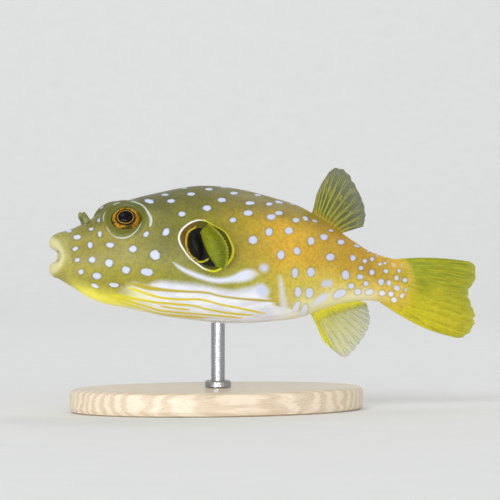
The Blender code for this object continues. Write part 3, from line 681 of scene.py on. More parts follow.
def insideShape(outline):
    # signed distance in millimetres to a closed outline in the frame, negative inside it
    rows = np.array([*outline, outline[0]], float)
    shares = np.linspace(0, len(outline), 8 * len(outline))
    outline = np.array([throughRows(rows, share) for share in shares])
    distance = np.full(len(flat), 1e9)
    crossings = np.zeros(len(flat), int)
    for a, b in zip(outline, np.roll(outline, -1, axis=0)):
        step = b - a
        t = np.clip((flat - a) @ step / max(step @ step, tiny), 0, 1)
        distance = np.minimum(distance, np.linalg.norm(flat - a - t[:, None] * step, axis=1))
        spans = (a[1] > flat[:, 1]) != (b[1] > flat[:, 1])
        cross = a[0] + (flat[:, 1] - a[1]) * step[0] / (step[1] if step[1] else tiny)
        crossings += spans & (flat[:, 0] < cross)
    inside = np.where(crossings % 2 == 1, -distance, distance) * pixelSize
    onFlank = np.abs(skinPoints[:, 1]) > lines["flankFrom"]
    return np.clip(np.where(onFlank, inside, farAway), -farAway, farAway)


flat = framePlaces(nearSide)
lowestPlaces = onSkin(lines["belly"][-1][0], 40)[0]
lowestFaces = [skinTree.find_nearest(Vector(point))[2] for point in lowestPlaces]
corners = np.array([skinFaces[face][0] for face in lowestFaces])
order = np.argsort(skinPoints[corners, 0])
lowest = np.interp(skinPoints[:, 0], skinPoints[corners, 0][order], skinArc[corners][order])
wander = 0.5 * np.sin(skinPoints[:, 0] * 0.21) + 0.3 * np.sin(skinPoints[:, 0] * 0.53 + 1)
ends = lines["undersideEnds"]
x = skinPoints[:, 0]
undersideOn = smoothStep(ends[0], ends[1], x) * smoothStep(ends[3], ends[2], x)

eyeAway, lidAway = np.full((2, len(skinPoints)), lines["eyeFar"])
for side in (-1, 1):
    centre, along, up, out = eyeAxes(side)
    away = skinPoints - centre
    wide, high = away @ along, away @ up
    oval = np.hypot(wide, (high + eye["openingLow"]) / eye["openingFlat"])
    ahead = away @ out > -1
    eyeAway = np.where(ahead, np.minimum(np.hypot(wide, high), eyeAway), eyeAway)
    lidAway = np.where(ahead, np.minimum(oval, lidAway), lidAway)


def setField(made, name, values):
    attribute = made.data.attributes.new(name, "FLOAT", "POINT")
    attribute.data.foreach_set("value", np.asarray(values, np.float32))


skinFields = {
    "back": skinBack, "share": skinShare, "spot": spotField, "spotLevel": spotLevel,
    "frameX": flat[:, 0], "frameY": flat[:, 1], "undersideOn": undersideOn, "streak": streakField,
    "ringHalf": ringHalf * pixelSize, "ringWay": ringWay, "ringArea": insideShape(lines["ring"]),
    "gillEdge": gillEdgeField, "gillBlack": insideShape(lines["gillBlack"]),
    "eyeAway": eyeAway, "lidAway": lidAway,
}
for index, share in enumerate(lines["underside"]):
    skinFields["underside" + str(index)] = np.clip(skinArc - share * (lowest + wander), -3, 3)
for name, values in skinFields.items():
    setField(skin, name, values)


# Nodes: the helpers add to the tree that was begun last.
current = {"tree": None}


def fillInputs(node, values):
    # links a socket, or sets a plain value
    for name, value in values.items():
        if isinstance(value, bpy.types.NodeSocket):
            current["tree"].links.new(value, node.inputs[name])
        else:
            node.inputs[name].default_value = value


def put(kind, inputs=None, family="ShaderNode", **settings):
    made = current["tree"].nodes.new(family + kind)
    for name, value in settings.items():
        setattr(made, name, value)
    fillInputs(made, inputs or {})
    return made


def paint(*rgb):
    # a colour picked on a screen, as light
    made = [(c / 255 / 12.92) if c <= 10.3 else ((c / 255 + 0.055) / 1.055) ** 2.4 for c in rgb]
    return (*made, 1.0)


def attribute(name):
    return put("Attribute", attribute_name=name).outputs["Fac"]


def mixColour(factor, first, second, blend="MIX"):
    return put("Mix", {0: factor, 6: first, 7: second}, data_type="RGBA", blend_type=blend).outputs[2]


def tinted(colour, tint):
    return mixColour(1.0, colour, (*tint, 1), "MULTIPLY")


def calculate(operation, first, second=0.0):
    return put("Math", {0: first, 1: second}, operation=operation).outputs[0]


def times(first, second):
    return calculate("MULTIPLY", first, second)


def plus(first, second):
    return calculate("ADD", first, second)


def minus(first, second):
    return calculate("SUBTRACT", first, second)


def rise(value, low, high, lowest=0.0, highest=1.0):
    return put("MapRange", {"Value": value, "From Min": low, "From Max": high, "To Min": lowest,
                            "To Max": highest}, interpolation_type="SMOOTHSTEP").outputs["Result"]


def below(value, edge, softness):
    # 1 where the value lies under the edge, with a soft border
    return rise(value, edge + softness, edge - softness)


def ramp(factor, stops, interpolation="LINEAR"):
    made = put("ValToRGB", {"Fac": factor})
    made.color_ramp.interpolation = interpolation
    elements = made.color_ramp.elements
    while len(elements) < len(stops):
        elements.new(0.5)
    for element, (at, colour) in zip(elements, sorted(stops)):
        element.position = at
        element.color = colour
    return made.outputs["Color"]


def noise(where, scale, detail=3.0, roughness=0.55, distortion=0.0):
    return put("TexNoise", {"Vector": where, "Scale": scale, "Detail": detail, "Roughness": roughness,
                            "Distortion": distortion}).outputs["Fac"]


def unevenness(where, scale, size, detail=3, roughness=0.6):
    # a noise that strays from nought to either side, by half the size at most
    return times(minus(noise(where, scale, detail, roughness), 0.5), size)


def drawnCurve(value, points, lowest, highest):
    # a smooth curve through points (value, result), for a value and a result of any size
    values = [at for at, result in points]
    first, last = min(values), max(values)
    share = put("MapRange", {"Value": value, "From Min": first, "From Max": last}).outputs["Result"]
    made = put("FloatCurve", {"Value": share})
    curve = made.mapping.curves[0]
    while len(curve.points) < len(points):
        curve.points.new(0.5, 0.5)
    for point, (at, result) in zip(curve.points, points):
        point.location = ((at - first) / (last - first), (result - lowest) / (highest - lowest))
    made.mapping.update()
    return plus(times(made.outputs["Value"], highest - lowest), lowest)


lineLooks = {
    "widths": (-2.0, 6.0),   # the least and the greatest half width that a line's curve can give
    "end": 0.04,             # a line runs out over this share of its length
}


def drawnLine(value, other, line, softness):
    # 1 on a line that runs along the value, its width as the line's second list says
    middle, widths = line
    results = [result for at, result in middle]
    least, most = lineLooks["widths"]
    end = (middle[-1][0] - middle[0][0]) * lineLooks["end"]
    ended = [(widths[0][0] - end, least), *widths, (widths[-1][0] + end, least)]
    centre = drawnCurve(value, middle, min(results) - 1, max(results) + 1)
    half = drawnCurve(value, ended, least, most)
    away = minus(calculate("ABSOLUTE", minus(other, centre)), half)
    return below(away, 0.0, softness)


def newGroup(name, inputs, outputs, kind="ShaderNodeTree"):
    tree = bpy.data.node_groups.new(name, kind)
    for label, socketKind, value in inputs:
        socket = tree.interface.new_socket(label, in_out="INPUT", socket_type="NodeSocket" + socketKind)
        if value is not None:
            socket.default_value = value
    for label, socketKind in outputs:
        tree.interface.new_socket(label, in_out="OUTPUT", socket_type="NodeSocket" + socketKind)
    current["tree"] = tree
    return tree, tree.nodes.new("NodeGroupInput").outputs, tree.nodes.new("NodeGroupOutput").inputs


def newMaterial(name):
    made = bpy.data.materials.new(name)
    made.use_nodes = True
    current["tree"] = made.node_tree
    return made, made.node_tree.nodes["Principled BSDF"]


def coordinates():
    return put("TexCoord").outputs["Object"]


def addBump(shader, height, strength, distance):
    bump = put("Bump", {"Height": height, "Strength": strength, "Distance": distance})
    fillInputs(shader, {"Normal": bump.outputs["Normal"]})


print("materials: the fish's skin")

# mottledSkin: the cloudy pigment and the fine grain that all of the fish's flesh shares
mottleLooks = {
    "grain": 1900,           # these three are the noises' scales
    "freckles": 900,
    "pores": 1150,
    "dark": (0.42, 0.42, 0.36),
    "light": (1.3, 1.28, 1.2),
    "roughness": (0.34, 0.5),
}
mottledSkin, given, result = newGroup(
    "mottledSkin",
    [("Colour", "Color", (0.3, 0.3, 0.1, 1)), ("Cloud Size", "Float", 3.0), ("Depth", "Float", 0.3)],
    [("Colour", "Color"), ("Roughness", "Float"), ("Height", "Float")],
)
where = coordinates()
clouds = noise(where, calculate("DIVIDE", 1000.0, given["Cloud Size"]), 4, 0.6)
grain = noise(where, mottleLooks["grain"], 3, 0.7)
freckle = noise(where, mottleLooks["freckles"], 2, 0.6)
dark, light = (tinted(given["Colour"], mottleLooks[name]) for name in ("dark", "light"))
cloudy = mixColour(rise(clouds, 0.3, 0.7), dark, light)
fine, dotted = (mixColour(rise(value, 0.35, 0.65), dark, light) for value in (grain, freckle))
together = mixColour(0.5, mixColour(0.45, cloudy, fine), dotted)
pores = put("TexVoronoi", {"Vector": where, "Scale": mottleLooks["pores"]}, feature="F1")
mottledSkin.links.new(mixColour(given["Depth"], given["Colour"], together), result["Colour"])
mottledSkin.links.new(rise(grain, 0.3, 0.7, *mottleLooks["roughness"]), result["Roughness"])
mottledSkin.links.new(minus(grain, times(pores.outputs["Distance"], 0.5)), result["Height"])


def mottle(colour, cloudSize, depth):
    values = {"Colour": colour, "Cloud Size": cloudSize, "Depth": depth}
    return put("Group", values, node_tree=mottledSkin).outputs


skinRamps = {
    # share of the length from the snout, then red, green and blue
    "back": [(0.0, (162, 156, 88)), (0.026, (156, 150, 82)), (0.07, (142, 136, 66)), (0.13, (114, 112, 50)),
             (0.22, (100, 100, 56)), (0.38, (106, 104, 52)), (0.56, (134, 122, 62)), (0.68, (152, 134, 50)),
             (0.80, (196, 152, 50)), (0.92, (206, 164, 54)), (1.0, (228, 190, 70))],
    "side": [(0.0, (166, 160, 92)), (0.026, (160, 153, 86)), (0.07, (148, 138, 60)), (0.2, (150, 143, 70)),
             (0.28, (118, 116, 56)), (0.36, (124, 123, 50)), (0.48, (166, 148, 50)), (0.62, (218, 174, 60)),
             (0.75, (198, 160, 58)), (0.88, (186, 150, 54)), (1.0, (200, 184, 50))],
    "low": [(0.0, (172, 162, 84)), (0.026, (168, 158, 80)), (0.07, (170, 160, 76)), (0.12, (160, 152, 62)),
            (0.22, (158, 150, 56)), (0.34, (148, 146, 66)), (0.5, (174, 168, 66)), (0.6, (200, 182, 70)),
            (0.7, (220, 198, 88)), (0.86, (214, 184, 74)), (1.0, (232, 198, 84))],
    "belly": [(0.0, (240, 232, 110)), (0.13, (240, 234, 104)), (0.2, (240, 238, 150)),
              (0.28, (240, 243, 250)), (0.6, (244, 247, 255)), (0.8, (240, 240, 236)),
              (1.0, (226, 206, 130))],
}
skinColours = {
    "chin": (252, 244, 96),
    "lipEdge": (222, 218, 168),
    "bellyShade": (206, 208, 222),
    "rearLow": (240, 236, 190),
    "spot": (198, 206, 234),
    "paintedLitLowSpot": (226, 230, 244),
    # the paler colour of spots low on the flank: painted light that lifts the shade there
    "streak": (222, 228, 244),
    "topLine": (186, 168, 40),
    "lineFront": (234, 220, 20),
    "bellyLine": (222, 202, 8),
    "finRoot": (202, 172, 54),
    "hollow": (78, 80, 24),
    "ringWhite": (232, 234, 224),
    "ringYellow": (206, 202, 30),
    "gillYellow": (200, 190, 34),
    "gillBlack": (20, 17, 18),
    "gillBrown": (104, 76, 24),
    "eyeLine": (206, 213, 212),
    "orbit": (92, 98, 30),
    "lidEdge": (44, 46, 22),
    # the throat: its flesh colour made paler, partly painted light that lifts the shade inside the mouth
    "throat": (206, 176, 128),
}


skinLooks = {
    "length": 130,                   # millimetres that the ramps run over
    "mottle": (4.2, 0.42),           # size of the clouds in millimetres, and their depth
    "lowToSide": (0.36, 0.54),       # from here to there, as shares of the height from belly to back
    "sideToBack": (0.66, 0.84),
    "orbit": (7.2, 1.2),             # reach in millimetres, and how soft it ends
    "lidEdge": (5.1, 0.15),
    "finRoot": (0.955, 0.99),        # shares of the length
    "chinHeight": (0.3, 0.09),       # shares of the height
    "chinStarts": (0.03, 0.1),
    "chinEnds": (0.4, 0.24),
    "bellyTop": (-3.4, 4.4),         # how soft the pale belly's borders are, in pixels
    "bellyRear": (-3.5, 7.0),
    "bellyFront": (112, 140),        # x in the photograph's frame
    "bellyTopSpan": (278, 304),      # the heights and widths between which the border's curves run
    "bellyRearSpan": (258, 310),
    "bellyShadeDepth": 0.55,
    "bellyShadeTop": (12.0, 2.0),    # pixels below the belly's top border
    "wobble": (160, 0.16),           # scale, and share of the height
    "uneven": (420, 4.5),            # scale, and pixels
    "finRootUneven": (420, 0.04),
    "jagged": (700, 0.9),            # scale, and millimetres
    "spotUneven": ((1300, 0.4), (620, 0.7)),
    "frontStreakFades": (262, 246, 0.35, 1.0),    # from x to x, from strength to strength
    "streakFades": (274, 282, 0.95, 0.7),
    "frontHue": (135, 175),
    "streakEdge": (-0.05, 1.05),     # edges: place in millimetres or pixels, and softness
    "frontStreakSoft": 2.6,
    "lineSoft": 0.7,
    "topLineSoft": 1.0,
    "lineStrength": 0.97,
    "undersideEdge": (0.27, 0.2),
    "undersideStrength": 0.6,
    "spotEdge": (0.0, 0.36),
    "faintSpotEdge": (-0.2, 1.0),
    "faintStrength": 0.9,
    "haloEdge": (0.5, 0.45),
    "haloStrength": 0.6,
    "haloTint": (0.52, 0.56, 0.6),
    "rearLowHeight": (0.36, 0.18),   # shares of the height, then of the length
    "rearLowStarts": (0.58, 0.7),
    "rearLowEnds": (0.94, 0.85, 0.0, 0.8),
    "paintedLitLowSpots": (0.4, 0.15),         # shares of the height, between which the spots turn to the paler colour of painted light low on the flank
    "eyeLineSoft": 0.6,
    "eyeLineStrength": 0.8,
    "shadeEdge": (1.5, 1.6),         # painted shade mixed with the skin's own dark speckles, below and behind the ring
    "shadeX": (186, 214),            # from here to there in the photograph's frame
    "shadeY": (232, 262),
    "shadeTint": (0.36, 0.36, 0.3),
    "speckles": (1700, 2, 0.5),
    "speckleFades": (0.48, 0.62, 0.45, 1.0),
    "hollowX": (190, 205),
    "hollowEdge": (0.1, 0.25),
    "blackEdge": (0.0, 0.25),
    "gillEdge": (0.05, 0.2),
    "ringSoft": 0.16,
    "ringTurns": (0.06, 0.46, 0.54), # shares of the way round at which its colour changes
    # on the mouth's scale, from -1 in the throat to 0 behind the lips
    "lipCrest": -0.42,
    "lipEdge": (0.34, 0.1),
    "lipStrength": 0.7,
    "throat": (-0.66, -0.88),
    "orbitStrength": 0.85,
    "coat": (0.12, 0.26),
    "coatRoughness": 0.3,
    "specular": 0.12,
    "bump": (0.35, 0.00012),
}
tone = {name: paint(*rgb) for name, rgb in skinColours.items()}


def bodyRamp(at, name):
    return ramp(at["back"], [(share, paint(*rgb)) for share, rgb in skinRamps[name]])


def groundColour(at):
    # three bands from the belly to the back, each of which changes along the body
    low, side, back = (bodyRamp(at, name) for name in ("low", "side", "back"))
    colour = mixColour(rise(at["unevenUp"], *skinLooks["lowToSide"]), low, side)
    return mixColour(rise(at["unevenUp"], *skinLooks["sideToBack"]), colour, back)


def eyeAndFinRoots(at, colour):
    orbit = below(attribute("eyeAway"), *skinLooks["orbit"])
    colour = mixColour(times(orbit, skinLooks["orbitStrength"]), colour, tone["orbit"])
    lid = below(attribute("lidAway"), *skinLooks["lidEdge"])
    colour = mixColour(lid, colour, tone["lidEdge"])
    root = plus(at["back"], unevenness(at["where"], *skinLooks["finRootUneven"], roughness=0.7))
    return mixColour(rise(root, *skinLooks["finRoot"]), colour, tone["finRoot"])


def paleBelly(at, colour):
    # the belly is pale below its top border, ahead of its rear one and behind the chin
    belowTop = minus(at["y"], drawnCurve(at["x"], lines["bellyTop"], *skinLooks["bellyTopSpan"]))
    aheadOfRear = minus(drawnCurve(at["y"], lines["bellyRear"], *skinLooks["bellyRearSpan"]), at["x"])
    mask = rise(plus(belowTop, at["uneven"]), *skinLooks["bellyTop"])
    rear = rise(plus(aheadOfRear, at["uneven"]), *skinLooks["bellyRear"])
    mask = times(times(mask, rear), rise(at["unevenX"], *skinLooks["bellyFront"]))
    chin = times(rise(at["unevenUp"], *skinLooks["chinHeight"]), rise(at["back"], *skinLooks["chinStarts"]))
    chin = times(chin, rise(at["back"], *skinLooks["chinEnds"]))
    colour = mixColour(chin, colour, tone["chin"])
    drawnOut = put("Mapping", {"Vector": at["where"], "Scale": (0.35, 1.0, 1.0)}).outputs[0]
    depth = skinLooks["bellyShadeDepth"]
    shade = rise(noise(drawnOut, 330, 3, 0.6), 0.4, 0.66, 0.0, depth)
    pale = mixColour(shade, bodyRamp(at, "belly"), tone["bellyShade"])
    pale = mixColour(rise(belowTop, *skinLooks["bellyShadeTop"], 0.0, depth), pale, tone["bellyShade"])
    return mixColour(mask, colour, pale), mask


def whiteStreaks(at, colour):
    jagged = plus(attribute("streak"), unevenness(at["where"], *skinLooks["jagged"], 2, 0.55))
    softY = plus(at["y"], times(at["uneven"], 0.4))
    front = drawnLine(at["x"], softY, lines["frontStreak"], skinLooks["frontStreakSoft"])
    front = times(front, rise(at["unevenX"], *skinLooks["frontStreakFades"]))
    streak = calculate("MAXIMUM", below(jagged, *skinLooks["streakEdge"]), front)
    streak = times(streak, rise(at["x"], *skinLooks["streakFades"]))
    return mixColour(streak, colour, tone["streak"])


def bellyLines(at, colour):
    hue = mixColour(rise(at["x"], *skinLooks["frontHue"]), tone["lineFront"], tone["bellyLine"])
    for index, line in enumerate(lines["belly"]):
        soft = skinLooks["lineSoft" if index else "topLineSoft"]
        drawn = times(drawnLine(at["x"], at["y"], line, soft), skinLooks["lineStrength"])
        colour = mixColour(drawn, colour, hue if index else tone["topLine"])
    for index in range(len(lines["underside"])):
        away = calculate("ABSOLUTE", attribute("underside" + str(index)))
        drawn = times(below(away, *skinLooks["undersideEdge"]), attribute("undersideOn"))
        drawn = times(drawn, skinLooks["undersideStrength"])
        colour = mixColour(drawn, colour, tone["bellyLine"])
    return colour


def whiteSpots(at, colour, bellyMask):
    # the stalk is paler below, each spot has a dim halo, the faint ones end softly, and spots low on the
    # flank are painted paler: painted light against the shade there
    rearLow = times(rise(at["unevenUp"], *skinLooks["rearLowHeight"]),
                    rise(at["back"], *skinLooks["rearLowStarts"]))
    rearLow = times(rearLow, rise(at["back"], *skinLooks["rearLowEnds"]))
    colour = mixColour(rearLow, colour, tone["rearLow"])
    edge = attribute("spot")
    for row in skinLooks["spotUneven"]:
        edge = plus(edge, unevenness(at["where"], *row, 2, 0.5))
    level = attribute("spotLevel")
    halo = times(below(edge, *skinLooks["haloEdge"]), level)
    halo = times(times(halo, skinLooks["haloStrength"]), minus(1.0, bellyMask))
    colour = mixColour(halo, colour, tinted(colour, skinLooks["haloTint"]))
    faint = times(below(edge, *skinLooks["faintSpotEdge"]), skinLooks["faintStrength"])
    whole = rise(level, 0.4, 0.6)
    mask = plus(times(below(edge, *skinLooks["spotEdge"]), whole), times(faint, minus(1.0, whole)))
    hue = mixColour(rise(at["up"], *skinLooks["paintedLitLowSpots"]), tone["spot"], tone["paintedLitLowSpot"])
    return mixColour(mask, colour, hue)


def linesRoundEye(at, colour):
    # two pale lines, drawn by the distance from the eye's middle and the share of a turn round it
    x, y = (minus(at[name], middle) for name, middle in zip("xy", lines["eyeMiddle"]))
    reach = calculate("SQRT", plus(times(x, x), times(y, y)))
    drawn = 0.0
    for way, name in ((1.0, "eyeBehind"), (-1.0, "eyeRound")):
        angle = calculate("ARCTAN2", times(y, way), times(x, way))
        turnShare = plus(calculate("DIVIDE", angle, 2 * math.pi), 0.5)
        line = drawnLine(turnShare, reach, lines[name], skinLooks["eyeLineSoft"])
        drawn = calculate("MAXIMUM", line, drawn)
    return mixColour(times(drawn, skinLooks["eyeLineStrength"]), colour, tone["eyeLine"])


def pectoralRing(at, colour):
    # painted shade mixed with dark speckles outside, below and behind the ring, then the hollow and its black
    # inside, then the ring itself
    area = attribute("ringArea")
    shade = times(rise(at["x"], *skinLooks["shadeX"]), rise(at["y"], *skinLooks["shadeY"]))
    shade = times(below(area, *skinLooks["shadeEdge"]), shade)
    speckles = noise(at["where"], *skinLooks["speckles"])
    shade = times(shade, rise(speckles, *skinLooks["speckleFades"]))
    colour = mixColour(shade, colour, tinted(colour, skinLooks["shadeTint"]))
    inside = below(area, *skinLooks["hollowEdge"])
    hollow = mixColour(rise(at["x"], *skinLooks["hollowX"]), tone["gillBrown"], tone["hollow"])
    colour = mixColour(inside, colour, hollow)
    colour = mixColour(below(attribute("gillBlack"), *skinLooks["blackEdge"]), colour, tone["gillBlack"])
    colour = mixColour(below(attribute("gillEdge"), *skinLooks["gillEdge"]), colour, tone["gillYellow"])
    yellow, white = tone["ringYellow"], tone["ringWhite"]
    first, second, third = skinLooks["ringTurns"]
    hue = ramp(attribute("ringWay"),
               [(0.0, yellow), (first, white), (second, white), (third, yellow), (1.0, yellow)])
    away = minus(calculate("ABSOLUTE", area), attribute("ringHalf"))
    return mixColour(below(away, 0.0, skinLooks["ringSoft"]), colour, hue), inside


def lipsAndThroat(colour):
    back = attribute("back")
    lip = rise(calculate("ABSOLUTE", minus(back, skinLooks["lipCrest"])), *skinLooks["lipEdge"])
    colour = mixColour(times(lip, skinLooks["lipStrength"]), colour, tone["lipEdge"])
    # the throat is painted paler than its flesh: partly its own colour, partly painted light against the
    # shade in the mouth
    return mixColour(rise(back, *skinLooks["throat"]), colour, tone["throat"])


skinLook, shader = newMaterial("spottedSkin")
at = {"where": coordinates(), "up": attribute("share"), "x": attribute("frameX"), "y": attribute("frameY")}
at["back"] = calculate("DIVIDE", attribute("back"), skinLooks["length"])
wobble = noise(at["where"], skinLooks["wobble"][0], 3, 0.6)
at["unevenUp"] = plus(at["up"], times(minus(wobble, 0.5), skinLooks["wobble"][1]))
at["uneven"] = unevenness(at["where"], *skinLooks["uneven"])
at["unevenX"] = plus(at["x"], times(at["uneven"], 2.0))
mottled = mottle(groundColour(at), *skinLooks["mottle"])
colour = eyeAndFinRoots(at, mottled["Colour"])
colour, bellyMask = paleBelly(at, colour)
colour = bellyLines(at, whiteStreaks(at, colour))
colour = linesRoundEye(at, whiteSpots(at, colour, bellyMask))
colour, insideRing = pectoralRing(at, colour)
coat = times(rise(wobble, 0.3, 0.7, *skinLooks["coat"]), minus(1.0, insideRing))
fillInputs(shader, {
    "Base Color": lipsAndThroat(colour), "Roughness": mottled["Roughness"], "Coat Weight": coat,
    "Coat Roughness": skinLooks["coatRoughness"], "Specular IOR Level": skinLooks["specular"]})
addBump(shader, mottled["Height"], *skinLooks["bump"])
skin.data.materials.append(skinLook)
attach(skin, "root")
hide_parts("head", "trunk", "tail_stalk")


print("eyes")
eyeLooks = {
    "pupil": (2.58, 2.12),   # half width and half height
    "pupilEdge": 1.0,        # the rings, as shares of the pupil's size
    "goldLine": 1.11,
    "darkRing": 1.36,
    "irisEnds": (2.03, 2.23),
    "irisRound": 0.92,       # the iris' height as a share of its width
    "roundFrom": (2.5, 5.2),
    "behind": 4.0,
    "dark": (6, 7, 9),
    "gold": (196, 152, 46),
    "amber": (148, 92, 14),
    "olive": (84, 66, 20),
    "ringDark": (34, 27, 10),
    "flecks": (1500, 4, 0.65, 0.6),      # scale, detail, roughness, distortion
    "patches": (420, 2, 0.5),
    "goldFlecks": (0.36, 0.62),
    "olivePatches": (0.47, 0.6),
    "irregular": 0.12,
    "goldLineStrength": 0.7,
    "roughness": (0.25, 0.4),
    "shine": {"Specular IOR Level": 0.05, "Coat Weight": 0.3, "Coat Roughness": 0.03, "Coat IOR": 1.3},
    "rings": 56,
    "spokes": 96,
    "crowding": 1.25,        # above 1 the rings crowd towards the pupil
}


def buildEye(side, word):
    # a ball with the cornea's low dome; its rings run out from the middle of the pupil
    centre, along, up, out = eyeAxes(side, "gaze")
    rings, spokes, crowding = (eyeLooks[name] for name in ("rings", "spokes", "crowding"))
    angles = np.linspace(0, np.pi, rings + 1)[1:-1] ** crowding / np.pi ** (crowding - 1)
    points = [centre + out * (eye["corneaOut"] + eye["corneaRadius"])]
    for angle in angles:
        reach = float(globeReach(angle))
        for spin in np.linspace(0, 2 * np.pi, spokes, endpoint=False):
            flat = along * math.cos(spin) + up * math.sin(spin)
            points.append(centre + (out * math.cos(angle) + flat * math.sin(angle)) * reach)
    points = np.array([*points, centre - out * eye["radius"]])
    faces = tubeFaces(len(angles), spokes, 1, (0, len(points) - 1))
    made = buildObject("globe_" + word, toMetres(points), faces)
    fixNormals(made)
    away = points - centre
    wide, high = away @ along, away @ up
    halfWide, halfHigh = eyeLooks["pupil"]
    grow = smoothStep(*eyeLooks["roundFrom"], np.hypot(wide, high))     # the rings turn round towards the rim
    halfHigh = between((halfHigh, halfWide * eyeLooks["irisRound"]), grow)
    ring = np.hypot(wide / halfWide, high / halfHigh)
    setField(made, "ring", np.where(away @ out > 0, ring, eyeLooks["behind"]))
    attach(made, "root")
    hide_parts("eye_" + word)
    return made


eyeLook, shader = newMaterial("wetEye")
where = coordinates()
ring = attribute("ring")
flecks, patches = (noise(where, *eyeLooks[name]) for name in ("flecks", "patches"))
irregular = plus(ring, times(minus(flecks, 0.5), eyeLooks["irregular"]))
gold, amber, olive, ringDark, black = (paint(*eyeLooks[name])
                                       for name in ("gold", "amber", "olive", "ringDark", "dark"))
iris = mixColour(rise(flecks, *eyeLooks["goldFlecks"]), amber, gold)
iris = mixColour(rise(patches, *eyeLooks["olivePatches"]), iris, olive)
iris = mixColour(below(irregular, eyeLooks["darkRing"], 0.1), iris, ringDark)
goldLine = times(below(irregular, eyeLooks["goldLine"], 0.03), eyeLooks["goldLineStrength"])
iris = mixColour(goldLine, iris, gold)
iris = mixColour(below(ring, eyeLooks["pupilEdge"], 0.04), iris, black)
iris = mixColour(rise(irregular, *eyeLooks["irisEnds"]), iris, ringDark)
roughness = rise(flecks, 0.3, 0.7, *eyeLooks["roughness"])
fillInputs(shader, {"Base Color": iris, "Roughness": roughness, **eyeLooks["shine"]})
for side, word in ((-1, "left"), (1, "right")):
    buildEye(side, word).data.materials.append(eyeLook)


print("fins")
fins = {
    "web": 0.22,             # thickness of the membrane
    "webTip": 0.1,
    "billow": 0.12,          # how far the membrane bulges between two rays
    "raySmoothness": 8,
    "raySteps": 34,          # points along a whole ray
    "forkSpread": 0.25,      # shares of the space between two rays
    "twigSpread": 0.12,
    "ragged": 0.02,
    # flesh: the root's thickness, and how far its front and its rear end stand out of the body
    # sheer: how much of the membrane shows at the root and at the margin
    "dorsal": {
        "rays": 11, "columns": 150, "rows": 80, "flesh": (3.2, 2.8, 2.8), "sway": 1.1, "scallop": 0.01,
        "rayWidth": (0.46, 0.1), "branches": (0.55, 0.8), "firstRay": 1.2, "rootFade": (1.15, 0.1),
        "sheer": (0.9, 0.6), "striped": True,
        "root": [(92.5, 11.0), (94.3, 9.4), (96.3, 7.9), (98.4, 6.3)],
        "margin": [(95.0, 21.6), (97.6, 26.6), (101.4, 31.1), (105.6, 30.6), (109.0, 26.0),
                   (111.6, 20.6), (112.9, 15.0), (112.0, 10.4)],
    },
    "anal": {
        "rays": 11, "columns": 150, "rows": 80, "flesh": (3.2, 4.4, 2.4), "sway": -1.0, "scallop": 0.01,
        "rayWidth": (0.46, 0.1), "branches": (0.55, 0.8), "firstRay": 2.6, "rootFade": (1.15, 0.1),
        "sheer": (0.5, 0.26), "striped": True, "stoutFront": True,
        "root": [(91.2, -16.4), (94.4, -15.4), (97.6, -14.3), (101.0, -13.2)],
        "margin": [(97.4, -30.4), (104.7, -36.1), (109.2, -32.8), (112.6, -28.6), (114.6, -24.4),
                   (114.8, -20.4), (113.6, -16.9)],
    },
    "caudal": {
        "rays": 10, "columns": 190, "rows": 100, "flesh": (2.7, 9.0, 9.0), "scallop": 0.02,
        "rayWidth": (0.46, 0.14), "branches": (0.42, 0.7), "firstRay": 1.0, "rootFade": (0.3, -0.06),
        "sheer": (1.0, 0.86), "evenRoot": True,
        "root": [(119.5, -1.6), (122.3, -5.8), (122.9, -9.8), (122.1, -13.6), (118.7, -16.8)],
        "margin": [(140.0, -0.6), (154.0, -2.2), (155.8, -8.6), (153.3, -13.0), (154.0, -18.2),
                   (155.2, -21.8), (153.6, -27.3), (149.0, -29.8), (139.5, -27.8)],
    },
    "pectoral": {
        "rays": 16, "columns": 170, "rows": 50, "flesh": (3.4, 6.2, 7.2), "scallop": 0.03,
        "rayWidth": (0.28, 0.09), "branches": (0.55, 0.82), "firstRay": 1.2, "rootFade": (1.15, 0.1),
        "sheer": (1.0, 0.94),
        # the root's back and up at both ends, how deep it lies in the flank, then the blade, in degrees
        "rootBack": (49.6, 54.8), "rootUp": (7.6, -2.8), "rootDeep": 2.6,
        "length": 14.7, "spread": (17, -8), "turnedOut": (99, 88), "curl": 10,
    },
}


def curveAt(rows, shares):
    rows = np.array(rows, float)
    return np.array([throughRows(rows, s * (len(rows) - 1)) for s in np.atleast_1d(shares)])


def rootFlesh(measure, points, across):
    # thick where the fin leaves the body, gone where the root's flesh ends
    thickness, *ends = measure
    flat = points.reshape(-1, 3)
    out = np.zeros(len(flat))
    for index, point in enumerate(flat):
        nearest, normal, face, away = skinTree.find_nearest(Vector(point))
        outside = (Vector(point) - nearest).dot(normal) * skinOutward > 0 or point[0] > tailEnd[0]
        out[index] = away if outside else 0
    out = out.reshape(across.shape)
    share = out / between(ends, across)
    fading = 1 - smoothStep(0, 1, share)
    return thickness * fading * np.sin(np.pi * np.clip(across, 0.06, 0.94)) ** 0.5, share


def uprightFin(name):
    look = fins[name]

    def shape(along, across):
        foot, tip = curveAt(look["root"], across), curveAt(look["margin"], across)
        flat = foot + (tip - foot) * along[:, None]
        y = look["sway"] * np.sin(1.3 * np.pi * across + 0.4) * along**2
        return np.stack([flat[:, 0], y, flat[:, 1]], axis=1)
    return shape


def caudalFin(along, across):
    look = fins["caudal"]
    inner = 1 / (len(look["margin"]) - 1)
    foot, tip = curveAt(look["root"], across), curveAt(look["margin"], inner + across * (1 - 2 * inner))
    flat = foot + (tip - foot) * along[:, None]
    z = flat[:, 1] + (0.5 - across) * (2.4 + 1.6 * across) * np.sin(np.pi * along)
    y = 0.9 * np.sin(2.2 * np.pi * across) * along**2 + 2.2 * along**2
    return np.stack([flat[:, 0], y, z], axis=1)


def flankOut(back, up):
    ring = bodyRing(back, 400)[0]
    flank = ring[ring[:, 1] > 0]
    flank = flank[np.argsort(flank[:, 2])]
    return np.interp(up, flank[:, 2], flank[:, 1])


